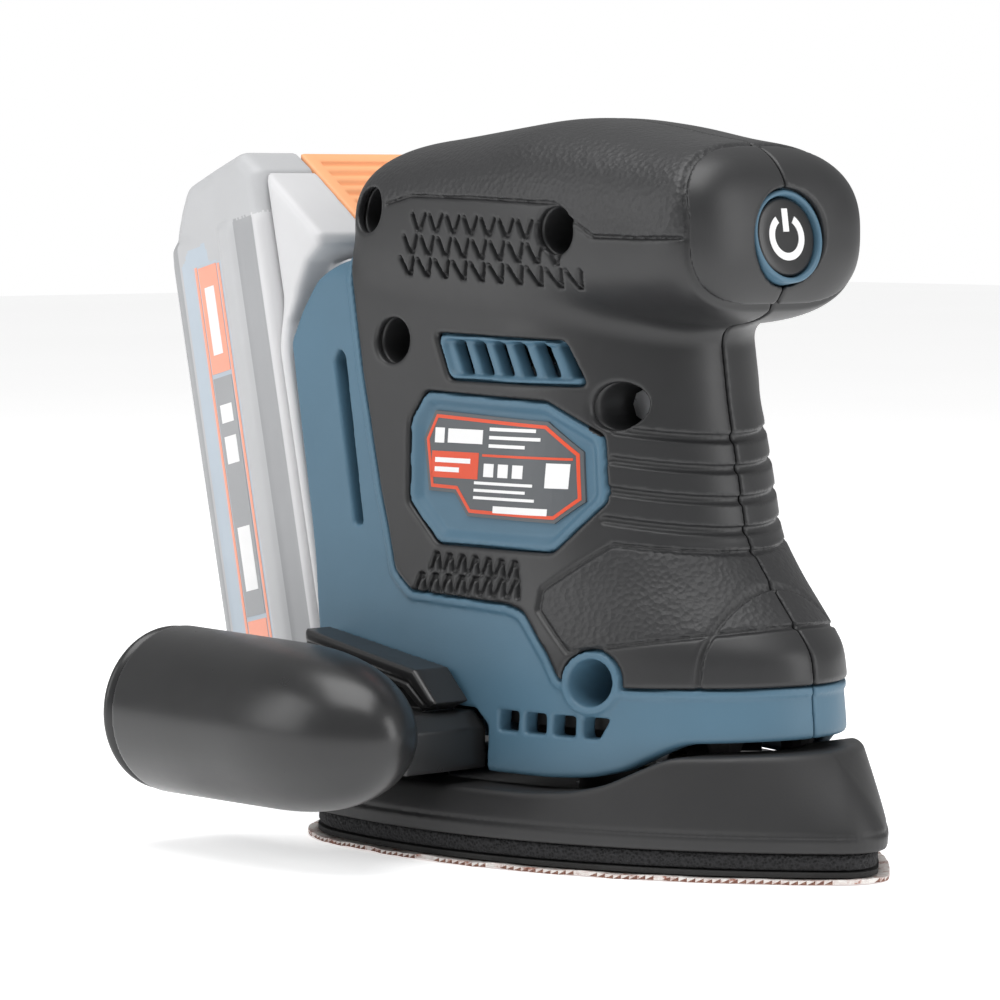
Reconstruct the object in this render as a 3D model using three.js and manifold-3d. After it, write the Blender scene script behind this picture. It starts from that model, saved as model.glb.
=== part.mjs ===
// A cordless detail sander: an iron-shaped orbiting pad, a two-half housing with a soft grip skin,
// a motor with an eccentric drive, a slide-on battery pack and a dust box that plugs into the side.
// Millimetres. +X points at the pad's tip, +Y to the left, +Z up. The origin is the centre of the
// sanding face, on the surface that the sander stands on.
import * as THREE from "three";
import { mergeVertices } from "three/addons/utils/BufferGeometryUtils.js";
import Module from "manifold-3d";

const wasm = await Module();
wasm.setup();

// ---------------------------------------------------------------- driving dimensions

const GAP = 0.3; // clearance between pieces that touch
const BIG = 200; // longer than anything in the object

const PAD_LENGTH = 140;
const PAD_WIDTH = 98;
const TIP_RADIUS = 10;
const SIDE_RADIUS = 126;
const CORNER_RADIUS = 28;
const REAR_BOW = 4; // how far the pad's rear edge bows out behind its corners

const SHEET_TOP = 1.1;
const HOOK_TOP = 2.3;
const FOAM_TOP = 6;
const FLANGE_TOP = 9.5;
const COVER_TOP = 26;
const FLANGE_INSET = 0.4;
const FOAM_INSET = 2.4;
const COVER_WALL = 2.4;
const DUST_HOLE_RADIUS = 4;
const DUST_HOLES = [[36, 13], [36, -13], [-2, 27], [-2, -27], [-38, 25], [-38, -25]];

const SHAFT_X = 4; // the motor's axis
const ORBIT_RADIUS = 1; // the eccentric's throw
const PIN_X = SHAFT_X + ORBIT_RADIUS;

const LEAN = THREE.MathUtils.degToRad(13); // the battery and the housing's back lean backwards
const SKIN = 2; // thickness of the soft grip skin
const EXPOSED = 0.8; // how far the bare housing lies below the skin's surface
const WALL = 2.5;
const MID_GAP = 0.2; // half the seam between the two halves

const SCREW_WELL_RADIUS = 4.7;
const SCREWS = [[9, 127], [-39, 104], [16.5, 92], [21, 37.5], [-46, 131]];

const BUTTON_TILT = THREE.MathUtils.degToRad(9);
const BUTTON_AT = new THREE.Vector3(45, 0, 126);

const CANISTER_Y = -70;
const CANISTER_Z = 27.8;
const CANISTER_REAR_X = -63;
const CANISTER_NOSE_X = 8.5;
const CANISTER_RADIUS = 17.4;
const CANISTER_WALL = 1.8;

const PACK_BOTTOM_Z = 36;
const PACK_LENGTH = 107;
const PACK_TOP = 112.5; // the ridge along the pack's front, above its rear top edge
const LATCH_HALF_WIDTH = 18.7;
const PACK_DEPTH = 41;
const PACK_HALF_WIDTH = 36.5;
const LID_HALF_WIDTH = 33;
const NECK_DEPTH = 13;
const NECK_TOP = 84;
const NECK_HALF_WIDTH = 26;
const CELL_RADIUS = 9.1;

// ---------------------------------------------------------------- materials

const plastic = (color, roughness) => new THREE.MeshStandardMaterial({ color, roughness, metalness: 0 });
const metal = (color, roughness) => new THREE.MeshStandardMaterial({ color, roughness, metalness: 1 });
const BLUE = plastic(0x4d6f88, 0.5);
const BLACK_SKIN = plastic(0x2b2b2d, 0.65);
const BLACK = plastic(0x242426, 0.5);
const FOAM = plastic(0x1b1b1c, 0.95);
const HOOK = plastic(0x3a3a3a, 1);
const GRIT = plastic(0xcfc8c0, 0.9);
const LABEL = plastic(0x55585c, 0.45);
const PALE_GREY = plastic(0xbcbcbe, 0.5);
const PALE_ORANGE = plastic(0xffb893, 0.5);
const RUBBER = plastic(0x1a1a1a, 0.85);
const BOARD = plastic(0x1f5a38, 0.6);
const FILTER = plastic(0xd8d4c4, 1);
const CELL_WRAP = plastic(0x3f7f5a, 0.4);
const RED_WIRE = plastic(0xa82018, 0.6);
const STEEL = metal(0xb4b6ba, 0.35);
const DARK_STEEL = metal(0x6d7076, 0.45);
const BRASS = metal(0xc9a24a, 0.35);

// ---------------------------------------------------------------- solids

// A closed geometry as a manifold-3d solid.
function solid(geometry) {
  const bare = new THREE.BufferGeometry();
  const source = geometry.index ? geometry.toNonIndexed() : geometry;
  bare.setAttribute("position", source.getAttribute("position"));
  const merged = mergeVertices(bare, 1e-4);
  return new wasm.Manifold(new wasm.Mesh({
    numProp: 3,
    vertProperties: merged.attributes.position.array,
    triVerts: new Uint32Array(merged.index.array),
  }));
}

// A manifold-3d solid as a three.js geometry.
function geometryOf(body) {
  const mesh = body.getMesh();
  const geometry = new THREE.BufferGeometry();
  geometry.setAttribute("position", new THREE.BufferAttribute(mesh.vertProperties, 3));
  geometry.setIndex(new THREE.BufferAttribute(mesh.triVerts, 1));
  return geometry;
}

const shapeOf = (points) => new THREE.Shape(points.map(([x, y]) => new THREE.Vector2(x, y)));

// An outline in X and Y, raised from z0 to z1.
function prismZ(shape, z0, z1, curveSegments = 4) {
  const options = { depth: z1 - z0, bevelEnabled: false, curveSegments };
  return new THREE.ExtrudeGeometry(shape, options).translate(0, 0, z0);
}

// An outline in X and Z, drawn out from y0 to y1.
function prismY(points, y0, y1) {
  const options = { depth: y1 - y0, bevelEnabled: false };
  return new THREE.ExtrudeGeometry(shapeOf(points), options).rotateX(Math.PI / 2).translate(0, y1, 0);
}

function boxBetween([x0, y0, z0], [x1, y1, z1]) {
  const geometry = new THREE.BoxGeometry(x1 - x0, y1 - y0, z1 - z0);
  return geometry.translate((x0 + x1) / 2, (y0 + y1) / 2, (z0 + z1) / 2);
}

function cylinderZ(x, y, z0, z1, radius, sides = 20) {
  const geometry = new THREE.CylinderGeometry(radius, radius, z1 - z0, sides).rotateX(Math.PI / 2);
  return geometry.translate(x, y, (z0 + z1) / 2);
}

function cylinderY(x, z, y0, y1, radius, sides = 12) {
  return new THREE.CylinderGeometry(radius, radius, y1 - y0, sides).translate(x, (y0 + y1) / 2, z);
}

const ringZ = (x, y, z0, z1, outer, inner, sides = 20) =>
  solid(cylinderZ(x, y, z0, z1, outer, sides)).subtract(solid(cylinderZ(x, y, z0 - 1, z1 + 1, inner, sides)));

// A unit cylinder's surface moved by place(turn, rise, reach): turn 0 to 1 anticlockwise round the
// axis, rise 0 to 1 from the bottom end to the top, reach 0 at the middle of an end and 1 at the rim.
function loft(around, levels, place) {
  const geometry = new THREE.CylinderGeometry(1, 1, 1, around, levels);
  const position = geometry.attributes.position;
  for (let i = 0; i < position.count; i++) {
    const [x, y, z] = [position.getX(i), position.getY(i), position.getZ(i)];
    const turn = Math.round((Math.atan2(x, z) / (2 * Math.PI) + 1) * around) % around / around;
    const rise = Math.round((y + 0.5) * levels) / levels;
    const reach = Math.hypot(x, z) > 0.5 ? 1 : 0;
    position.setXYZ(i, ...place(turn, rise, reach).toArray());
  }
  return geometry;
}

// The value of a table's column at a place between its rows, along straight lines.
function between(table, at, column) {
  const rows = table.length;
  if (at <= table[0][0]) return table[0][column];
  for (let i = 1; i < rows; i++) {
    const [low, high] = [table[i - 1], table[i]];
    if (at <= high[0]) {
      return low[column] + (high[column] - low[column]) * (at - low[0]) / (high[0] - low[0]);
    }
  }
  return table[rows - 1][column];
}

// A closed outline moved outwards by distance; its points go anticlockwise.
function grown(points, distance) {
  return points.map(([x, y], i) => {
    const [px, py] = points[(i + points.length - 1) % points.length];
    const [nx, ny] = points[(i + 1) % points.length];
    const before = new THREE.Vector2(y - py, px - x).normalize();
    const after = new THREE.Vector2(ny - y, x - nx).normalize();
    const corner = before.clone().add(after).normalize();
    const reach = distance / Math.max(0.5, corner.dot(before));
    return [x + corner.x * reach, y + corner.y * reach];
  });
}

// ---------------------------------------------------------------- the pad's outline

// Tip, sides, rear corners and rear edge are arcs, each tangent to the next, so an inset outline
// keeps the same centres with smaller radii.
const SIDE_Y = SIDE_RADIUS - PAD_WIDTH / 2;
const TIP_X = PAD_LENGTH / 2 - TIP_RADIUS;
const WIDEST_X = TIP_X - Math.sqrt((SIDE_RADIUS - TIP_RADIUS) ** 2 - SIDE_Y ** 2);
const CORNER_X = -PAD_LENGTH / 2 + REAR_BOW + CORNER_RADIUS;
const CORNER_Y = Math.sqrt((SIDE_RADIUS - CORNER_RADIUS) ** 2 - (CORNER_X - WIDEST_X) ** 2) - SIDE_Y;
const REAR_RADIUS = (() => {
  const inner = PAD_LENGTH / 2 + CORNER_X;
  return (inner ** 2 + CORNER_Y ** 2 - CORNER_RADIUS ** 2) / (2 * (inner - CORNER_RADIUS));
})();
const REAR_X = REAR_RADIUS - PAD_LENGTH / 2;

function padShape(inset) {
  const tipTurn = Math.atan2(SIDE_Y, TIP_X - WIDEST_X);
  const cornerTurn = Math.atan2(CORNER_Y + SIDE_Y, CORNER_X - WIDEST_X);
  const rearTurn = Math.atan2(CORNER_Y, CORNER_X - REAR_X);
  const shape = new THREE.Shape();
  shape.absarc(TIP_X, 0, TIP_RADIUS - inset, -tipTurn, tipTurn, false);
  shape.absarc(WIDEST_X, -SIDE_Y, SIDE_RADIUS - inset, tipTurn, cornerTurn, false);
  shape.absarc(CORNER_X, CORNER_Y, CORNER_RADIUS - inset, cornerTurn, rearTurn, false);
  shape.absarc(REAR_X, 0, REAR_RADIUS - inset, rearTurn, 2 * Math.PI - rearTurn, false);
  shape.absarc(CORNER_X, -CORNER_Y, CORNER_RADIUS - inset, -rearTurn, -cornerTurn, false);
  shape.absarc(WIDEST_X, SIDE_Y, SIDE_RADIUS - inset, -cornerTurn, -tipTurn, false);
  return shape;
}

function withDustHoles(body) {
  return DUST_HOLES.reduce(
    (left, [x, y]) => left.subtract(solid(cylinderZ(x, y, -1, FLANGE_TOP + 2, DUST_HOLE_RADIUS, 8))),
    body,
  );
}

// ---------------------------------------------------------------- the housing's outer surface

// Height, front, nose length, half width near the nose, half width at the back.
const BODY = [
  [10, 52.5, 62, 33, 41],
  [27, 54.4, 62, 33, 41],
  [38, 53.3, 60, 32, 40.5],
  [44, 52.6, 58, 31, 40],
  [49, 47.8, 52, 30, 39.5],
  [57, 40.6, 46, 28, 38.5],
  [65, 34, 40, 27, 38],
  [78, 31.4, 38, 26, 37.5],
  [92, 28.3, 37, 25, 37],
  [104, 26.5, 36, 24.5, 36.5],
  [114, 25, 36, 24, 36.2],
  [122, 24, 36, 24, 35.5],
];
const BACK_TOP_X = -71.2; // the leaning back at Z 105
const WING_TOP = [[103, -70.7], [111, -68.6], [117, -64.6], [122, -58]];

// The leaning plane that the battery's back rests against.
const backX = (z) => BACK_TOP_X + (105 - z) * Math.tan(LEAN);
const rearX = (z) => (z < WING_TOP[0][0] ? backX(z) : between(WING_TOP, z, 1));

// The housing's half width at x on the level z.
function halfWidth(x, z, inset) {
  const [front, nose, wideFront, wideRear] = [1, 2, 3, 4].map((column) => between(BODY, z, column));
  const [x0, x1] = [rearX(z) + inset, front - inset];
  const along = (x - x0) / (x1 - x0);
  const into = Math.min(1, Math.max(0, (x - (x1 - nose)) / nose));
  return (wideRear + (wideFront - wideRear) * along - inset) * Math.sqrt(1 - into ** 2.2);
}

const BACK_SHARE = 0.1; // the share of a level's points that lie on its flat back

function bodyPoint(turn, z, inset) {
  const [side, share] = turn < 0.5 ? [-1, turn * 2] : [1, 2 - turn * 2];
  const [x0, x1] = [rearX(z) + inset, between(BODY, z, 1) - inset];
  if (share <= BACK_SHARE) {
    return new THREE.Vector3(x0, side * halfWidth(x0, z, inset) * share / BACK_SHARE, z);
  }
  const forward = Math.sin((share - BACK_SHARE) / (1 - BACK_SHARE) * Math.PI / 2);
  const x = x0 + (x1 - x0) * forward;
  return new THREE.Vector3(x, side * halfWidth(x, z, inset), z);
}

function bodyLoft(inset, around = 28) {
  return loft(around, BODY.length - 1, (turn, rise, reach) => {
    const z = BODY[Math.round(rise * (BODY.length - 1))][0];
    const level = rise === 1 ? z - Math.max(0, inset) : z;
    return reach ? bodyPoint(turn, level, inset) : new THREE.Vector3(0, 0, level);
  });
}

// The head along X: place, top, bottom, half width.
const HEAD = [
  [-57, 134, 122, 26],
  [-55, 139, 117, 31],
  [-50, 143.5, 112, 33.5],
  [-30, 147.5, 108, 33.5],
  [-6, 150.5, 107, 32],
  [10, 148.5, 107, 30],
  [24, 146, 108, 27.8],
  [36, 143, 109.5, 25.6],
  [41, 139.5, 112.5, 24],
  [44.5, 135, 117, 19],
  [46, 130.5, 121.5, 10],
];
const HEAD_SQUARENESS = 2.5;

function headPoint(turn, row, inset) {
  const [x, top, bottom, wide] = row;
  const [cos, sin] = [Math.cos(turn * 2 * Math.PI), Math.sin(turn * 2 * Math.PI)];
  const bend = (value) => Math.sign(value) * Math.abs(value) ** (2 / HEAD_SQUARENESS);
  const [middle, half] = [(top + bottom) / 2, (top - bottom) / 2];
  const inwards = x > 0 ? -inset : inset;
  const shrink = Math.abs(x) > 30 ? inwards * Math.min(1, (Math.abs(x) - 30) / 12) : 0;
  return new THREE.Vector3(x + shrink, (wide - inset) * bend(cos), middle + (half - inset) * bend(sin));
}

function headLoft(inset, around = 20) {
  const rows = HEAD.filter(([, top, bottom, wide]) => Math.min((top - bottom) / 2, wide) > inset + 1);
  return loft(around, rows.length - 1, (turn, rise, reach) => {
    const row = rows[Math.round(rise * (rows.length - 1))];
    const middle = headPoint(0, row, inset);
    return reach ? headPoint(turn, row, inset) : new THREE.Vector3(middle.x, 0, (row[1] + row[2]) / 2);
  });
}

const outside = (inset, around = 28) => solid(bodyLoft(inset, around)).add(solid(headLoft(inset, around - 8)));

// ---------------------------------------------------------------- outlines on the housing's sides

// The housing's lower edge: low over the rear of the pad, stepping up towards the nose.
const BELLY = [[-90, 17.8], [12, 17.8], [21, 18.5], [28, 20.3], [33, 23.2], [38.5, 26.2], [60, 27.3]];
const belowBelly = (drop) => [[60, -20], ...[...BELLY].reverse().map(([x, z]) => [x, z - drop]), [-90, -20]];

// Where the bare blue housing shows through the skin: the wing, the lower band and two windows.
const BAND = [
  [70, 5], [70, 37.9], [28, 36.6], [14, 37.2], [10.5, 42.5], [3, 50.5], [-1.5, 51.6], [-29, 52.6],
  [-34.5, 56.5], [-40.4, 73], [-47.5, 97.5], [-53.2, 122.6], [-53.5, 130], [-95, 130], [-95, 5],
];
const VENT_WINDOW = [[-22.5, 96.4], [11, 95.8], [6, 104.7], [-27, 105.8]];
const LABEL_WINDOW = [
  [-32, 71], [-23, 62.8], [7.5, 62.5], [17, 73], [15, 86], [3, 92.5], [-29, 93.8], [-33, 87.7],
];
const RATING_LABEL = [
  [-27.5, 73.4], [-20.3, 73.2], [-16.3, 68.6], [6.3, 68.2], [12.3, 72.8], [10.9, 82.7], [2.9, 88.5],
  [-26.9, 89.9], [-29.7, 84.1],
];
const DUCT_NOTCH = [[-37, 5], [-4.4, 5], [-3.9, 27.2], [-7.7, 30.4], [-37, 30.8]];

function ventSlots() {
  return [0, 1, 2, 3, 4, 5].map((i) => {
    const x = -23 + i * 5.4;
    return prismY([[x + 3.2, 97.4], [x + 6.4, 97.4], [x + 3, 104.4], [x - 0.2, 104.4]], -BIG, BIG);
  });
}

function bandSlots() {
  return [0, 1, 2, 3].map((i) => {
    const x = -1 + i * 6.8;
    const right = i === 3 ? [[x + 3.6, 26.4], [x + 5.8, 30.6]] : [[x + 5.2, 26.4], [x + 5.2, 30.6]];
    return prismY([[x, 26.4], ...right, [x, 30.6]], -BIG, BIG);
  });
}

const WING_SLOT = [[-48, 65.2], [-45.6, 65.4], [-53.4, 100.5], [-55.2, 102], [-56.4, 99.4]];

// ---------------------------------------------------------------- the battery's place

const PACK_AT = new THREE.Vector3(backX(PACK_BOTTOM_Z), 0, PACK_BOTTOM_Z);
const packMatrix = new THREE.Matrix4().makeRotationY(-LEAN).setPosition(PACK_AT);

// The channel in the housing's back that the pack's neck slides in, open at the top.
function packChannel(grow) {
  const low = [-8, -NECK_HALF_WIDTH - 1 - grow, 2 - grow];
  const high = [NECK_DEPTH + 1 + grow, NECK_HALF_WIDTH + 1 + grow, BIG];
  return solid(boxBetween(low, high).applyMatrix4(packMatrix));
}

// Everything behind the plane that the pack's back rests against.
const behindBack = () => solid(boxBetween([-BIG, -BIG, -BIG], [0, BIG, BIG]).applyMatrix4(packMatrix));

// ---------------------------------------------------------------- housing halves and skins

const buttonFrame = new THREE.Matrix4().makeRotationY(Math.PI / 2 - BUTTON_TILT).setPosition(BUTTON_AT);
const alongButton = (geometry) => geometry.applyMatrix4(buttonFrame);

// The half space of one side, short of the seam.
function sideOf(side) {
  const [y0, y1] = side < 0 ? [-BIG, -MID_GAP] : [MID_GAP, BIG];
  return solid(boxBetween([-BIG, y0, -BIG], [BIG, y1, BIG]));
}

function withScrewWells(body, side) {
  return SCREWS.reduce((left, [x, z]) => {
    const well = cylinderY(x, z, Math.min(side * 9, side * BIG), Math.max(side * 9, side * BIG), SCREW_WELL_RADIUS);
    return left.subtract(solid(well)).subtract(solid(cylinderY(x, z, -12, 12, 1.7, 8)));
  }, body);
}

function screwBosses(side) {
  return SCREWS.map(([x, z]) => solid(cylinderY(x, z, side < 0 ? -BIG : 0, side < 0 ? 0 : BIG, SCREW_WELL_RADIUS + 1.6, 10)));
}

function housingHalf(side) {
  const hull = outside(SKIN + GAP);
  const bare = [BAND, VENT_WINDOW, LABEL_WINDOW]
    .map((outline) => solid(prismY(grown(outline, -GAP), -BIG, BIG)))
    .reduce((sum, window) => sum.add(window))
    .intersect(outside(EXPOSED));
  let hollow = outside(SKIN + GAP + WALL, 16).subtract(packChannel(WALL));
  for (const boss of screwBosses(side)) hollow = hollow.subtract(boss);
  const belly = solid(prismY(belowBelly(0), -BIG, BIG));
  let half = hull.add(bare).subtract(hollow).subtract(packChannel(0)).subtract(belly);
  half = withScrewWells(half, side);
  for (const slot of [...ventSlots(), ...bandSlots()]) half = half.subtract(solid(slot));
  half = half.subtract(solid(prismY(WING_SLOT, -BIG, BIG)));
  half = half.subtract(solid(alongButton(cylinderZ(0, 0, -14, 20, 9.3 + GAP, 24))));
  if (side < 0) half = half.subtract(solid(prismY(DUCT_NOTCH, -BIG, 0)));
  const label = solid(prismY(grown(RATING_LABEL, GAP), -BIG, BIG)).intersect(outside(EXPOSED - 2));
  half = half.subtract(label.subtract(outside(EXPOSED + 0.5)));
  return half.intersect(sideOf(side));
}

function gripSkin(side) {
  let skin = outside(0).subtract(outside(SKIN));
  for (const outline of [BAND, VENT_WINDOW, LABEL_WINDOW]) {
    skin = skin.subtract(solid(prismY(outline, -BIG, BIG)));
  }
  skin = withScrewWells(skin, side).subtract(behindBack()).subtract(packChannel(WALL));
  skin = skin.subtract(solid(alongButton(cylinderZ(0, 0, -14, 20, 9.3 + GAP, 24))));
  return skin.intersect(sideOf(side));
}

// A label as thick as the recess that it is stuck in.
function label(side) {
  const outline = solid(prismY(RATING_LABEL, side < 0 ? -BIG : 1, side < 0 ? -1 : BIG));
  return outline.intersect(outside(EXPOSED - 0.05)).subtract(outside(EXPOSED + 0.4));
}

// The largest piece of a solid, without the crumbs that a cut can leave.
function largest(body) {
  return body.decompose().reduce((best, next) => (next.volume() > best.volume() ? next : best));
}

// ---------------------------------------------------------------- the assembly

const sander = new THREE.Group();

function addMesh(name, shape, material, parent = sander) {
  const geometry = shape.isBufferGeometry ? shape : geometryOf(largest(shape));
  const mesh = new THREE.Mesh(geometry, material);
  mesh.name = name;
  parent.add(mesh);
  return mesh;
}

function addHousing() {
  for (const [side, word] of [[-1, "right"], [1, "left"]]) {
    addMesh(word + "_housing", housingHalf(side), BLUE);
    addMesh(word + "_grip_skin", gripSkin(side), BLACK_SKIN);
    addMesh(word + "_label", label(side), LABEL);
  }
  SCREWS.forEach(([x, z], i) => addMesh("housing_screw_" + (i + 1), screw(3, 3.2, 15, 1.4).rotateX(Math.PI / 2)
    .translate(x, -12 - GAP, z), STEEL));
}

// A pan-head screw standing on its tip at the origin's -Z side: its head's top is at the origin.
function screw(headHeight, headRadius, length, shankRadius) {
  const profile = [
    [0, 0], [headRadius, 0], [headRadius, -headHeight], [shankRadius, -headHeight], [shankRadius, 1 - length], [0, -length],
  ];
  const points = profile.reverse().map(([r, y]) => new THREE.Vector2(r, y));
  return new THREE.LatheGeometry(points, 8).rotateX(Math.PI / 2);
}

function addButton() {
  const bezel = ringZ(0, 0, -9, 0.4, 9.3, 8.2, 24);
  addMesh("button_bezel", alongButton(geometryOf(bezel)), BLUE);
  const cap = solid(cylinderZ(0, 0, -3, -0.4, 7.8, 24)).add(solid(cylinderZ(0, 0, -7, -2, 2.4, 12)));
  addMesh("power_button", alongButton(geometryOf(cap)), BLACK);
  addMesh("button_spring", alongButton(spring(3.4, 0.35, -8.9, -4.8, 3)), STEEL);
  addMesh("switch_board", alongButton(boxBetween([-8, -8, -11], [5, 8, -9.4])), BOARD);
  addMesh("tact_switch", alongButton(boxBetween([-2, -2, -9.1], [2, 2, -8.8 + 0.2])), BLACK);
}

// A coil spring on the Z axis.
function spring(radius, wire, z0, z1, turns) {
  const points = [];
  for (let i = 0; i <= turns * 10; i++) {
    const turn = i / 10 * 2 * Math.PI;
    points.push(new THREE.Vector3(radius * Math.cos(turn), radius * Math.sin(turn),
      z0 + wire + (z1 - z0 - 2 * wire) * i / (turns * 10)));
  }
  const section = new THREE.Shape().absarc(0, 0, wire, 0, 2 * Math.PI, false);
  const path = new THREE.CatmullRomCurve3(points);
  return new THREE.ExtrudeGeometry(section, { steps: turns * 10, curveSegments: 3, extrudePath: path });
}

function addMotor() {
  const can = solid(cylinderZ(SHAFT_X, 0, 47, 82, 17.5, 20)).subtract(solid(cylinderZ(SHAFT_X, 0, 40, 90, 4.4, 12)));
  addMesh("motor_can", can, DARK_STEEL);
  addMesh("motor_end_cap", ringZ(SHAFT_X, 0, 82 + GAP, 85.4, 16, 4.4, 20), BLACK);
  const shaft = solid(cylinderZ(SHAFT_X, 0, 19, 88, 4, 16)).add(solid(cylinderZ(PIN_X, 0, 10.8, 19.5, 3.9, 16)));
  addMesh("motor_shaft", shaft, STEEL);
  const weight = solid(cylinderZ(SHAFT_X, 0, 20, 25, 12, 20))
    .subtract(solid(boxBetween([SHAFT_X + 2, -BIG, 0], [BIG, BIG, BIG])))
    .add(solid(cylinderZ(SHAFT_X, 0, 20, 25, 6.5, 16)))
    .subtract(solid(cylinderZ(SHAFT_X, 0, 10, 40, 4 + GAP, 16)));
  addMesh("counterweight", weight, BRASS);
  addMesh("cooling_fan", fan(), BLACK);
  addMesh("shaft_bearing", ringZ(SHAFT_X, 0, 35.3, 41, 8, 4 + GAP, 20), STEEL);
}

function fan() {
  const disc = ringZ(SHAFT_X, 0, 25 + GAP, 27, 24, 4 + GAP, 20);
  const blades = [...Array(8).keys()].map((i) => {
    const blade = boxBetween([13, -0.7, 20], [23.8, 0.7, 26]).rotateZ(i * 2 * Math.PI / 8);
    return solid(blade.translate(SHAFT_X, 0, 0));
  });
  return blades.reduce((sum, blade) => sum.add(blade), disc);
}

// A level plate that fills the housing between two heights.
function level(z0, z1, rear) {
  return solid(bodyLoft(SKIN + WALL + 1.2, 24)).intersect(solid(boxBetween([rear, -BIG, z0], [BIG, BIG, z1])));
}

function addInnerFrame() {
  const seat = solid(cylinderZ(SHAFT_X, 0, 34, 45, 10, 20));
  const bore = solid(cylinderZ(SHAFT_X, 0, 30, 60, 5.2, 16)).add(solid(cylinderZ(SHAFT_X, 0, 35, 60, 8 + GAP, 20)));
  addMesh("bearing_plate", level(44.2, 46.7, -37).add(seat).subtract(bore), BLACK);
  let baffle = level(27.6, 30.7, -42.3).subtract(solid(cylinderZ(SHAFT_X, 0, 0, 60, 5.2, 16)));
  for (const [x, y] of LEGS) baffle = baffle.subtract(solid(cylinderZ(x, y, 0, 60, LEG_RADIUS + GAP, 12)));
  addMesh("leg_frame", baffle, BLACK);
  LEGS.forEach(([x, y], i) => addMesh("rubber_leg_" + (i + 1), leg(x, y), RUBBER));
}

const LEGS = [[38, 10], [38, -10], [-36, 24], [-36, -24]];
const LEG_RADIUS = 4.5;

// A rubber leg, waisted between its two ends.
function leg(x, y) {
  const [foot, top] = [FLANGE_TOP + GAP, 30.7];
  const profile = [[0, foot], [LEG_RADIUS, foot], [3.2, foot + 4], [3.2, top - 7], [LEG_RADIUS, top - 3.5], [LEG_RADIUS, top], [0, top]];
  const points = profile.map(([r, z]) => new THREE.Vector2(r, z));
  return new THREE.LatheGeometry(points, 12).rotateX(Math.PI / 2).translate(x, y, 0);
}

// ---------------------------------------------------------------- the pad

// The point of a closed outline about the origin that lies at an angle.
function atAngle(outline, angle) {
  const turned = outline.map((p) => p.clone().rotateAround(new THREE.Vector2(), -angle));
  for (let i = 0; i < outline.length; i++) {
    const [a, b] = [turned[i], turned[(i + 1) % outline.length]];
    if (a.y <= 0 && b.y > 0 && a.x + b.x > 0) return outline[i].clone().lerp(outline[(i + 1) % outline.length], -a.y / (b.y - a.y));
  }
  return outline[0].clone();
}

// The pad's cover: straight lines from the pad's outline up to the housing's.
function coverLoft(inset) {
  const low = padShape(FLANGE_INSET + 0.4 + inset).getSpacedPoints(200);
  const turns = [...Array(80).keys()].map((i) => bodyPoint(i / 80, 27, inset - 0.8));
  const high = turns.map((p) => new THREE.Vector2(p.x, p.y));
  return loft(40, 1, (turn, rise, reach) => {
    const z = rise ? COVER_TOP : FLANGE_TOP - 0.5;
    if (!reach) return new THREE.Vector3(0, 0, z);
    const angle = (turn - 0.25) * 2 * Math.PI;
    const at = atAngle(rise ? high : low, angle);
    return new THREE.Vector3(at.x, at.y, z);
  });
}

function addPad() {
  addMesh("sanding_sheet", withDustHoles(solid(prismZ(padShape(0), 0, SHEET_TOP))), GRIT);
  addMesh("hook_layer", withDustHoles(solid(prismZ(padShape(FOAM_INSET), SHEET_TOP + GAP / 3, HOOK_TOP))), HOOK);
  addMesh("foam_pad", withDustHoles(solid(prismZ(padShape(FOAM_INSET), HOOK_TOP + GAP / 3, FOAM_TOP - GAP))), FOAM);
  const flange = solid(prismZ(padShape(FLANGE_INSET), FOAM_TOP, FLANGE_TOP));
  const above = solid(prismY(belowBelly(2.3), -BIG, BIG));
  const inside = solid(coverLoft(COVER_WALL)).intersect(solid(boxBetween([-BIG, -BIG, FLANGE_TOP], [BIG, BIG, BIG])));
  const skirt = solid(coverLoft(0)).subtract(inside).intersect(above);
  const hub = ringZ(PIN_X, 0, FLANGE_TOP - 1, 18.3, 14.5, 11 + GAP, 20);
  let platen = withDustHoles(flange.add(skirt)).add(hub);
  platen = PAD_SCREWS.reduce((left, [x, y]) => left.subtract(solid(cylinderZ(x, y, 6.4, 20, 1.7, 8))), platen);
  addMesh("pad_platen", platen, BLACK);
  addMesh("pad_bearing", ringZ(PIN_X, 0, 10.9, 18, 11, 3.9 + GAP, 24), STEEL);
  PAD_SCREWS.forEach(([x, y], i) => addMesh("pad_screw_" + (i + 1), screw(1.6, 2.6, 4.6, 1.3).translate(x, y, FLANGE_TOP + GAP + 1.6), STEEL));
}

const PAD_SCREWS = [[PIN_X + 19, 0], [PIN_X - 19, 0], [PIN_X, 19], [PIN_X, -19]];

// ---------------------------------------------------------------- the dust box

const DUCT = [[-35.5, 18.2], [-6, 18.2], [-6, 26.6], [-9.3, 29.8], [-35.5, 29.8]];
const DUCT_BORE = [[-33.7, 20], [-7.8, 20], [-7.8, 25.8], [-10, 28], [-33.7, 28]];
const HOOD = [[-50.5, 39.7], [-18.6, 34.2], [-12.4, 30.1], [-8.2, 31.9], [-14.7, 38.2], [-50.5, 43.9]];
const HOOD_PLATE = [[-34, 28.6], [-13, 28.6], [-13, 30.4], [-19, 35], [-48, 40.2], [-48, 36]];

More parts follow.
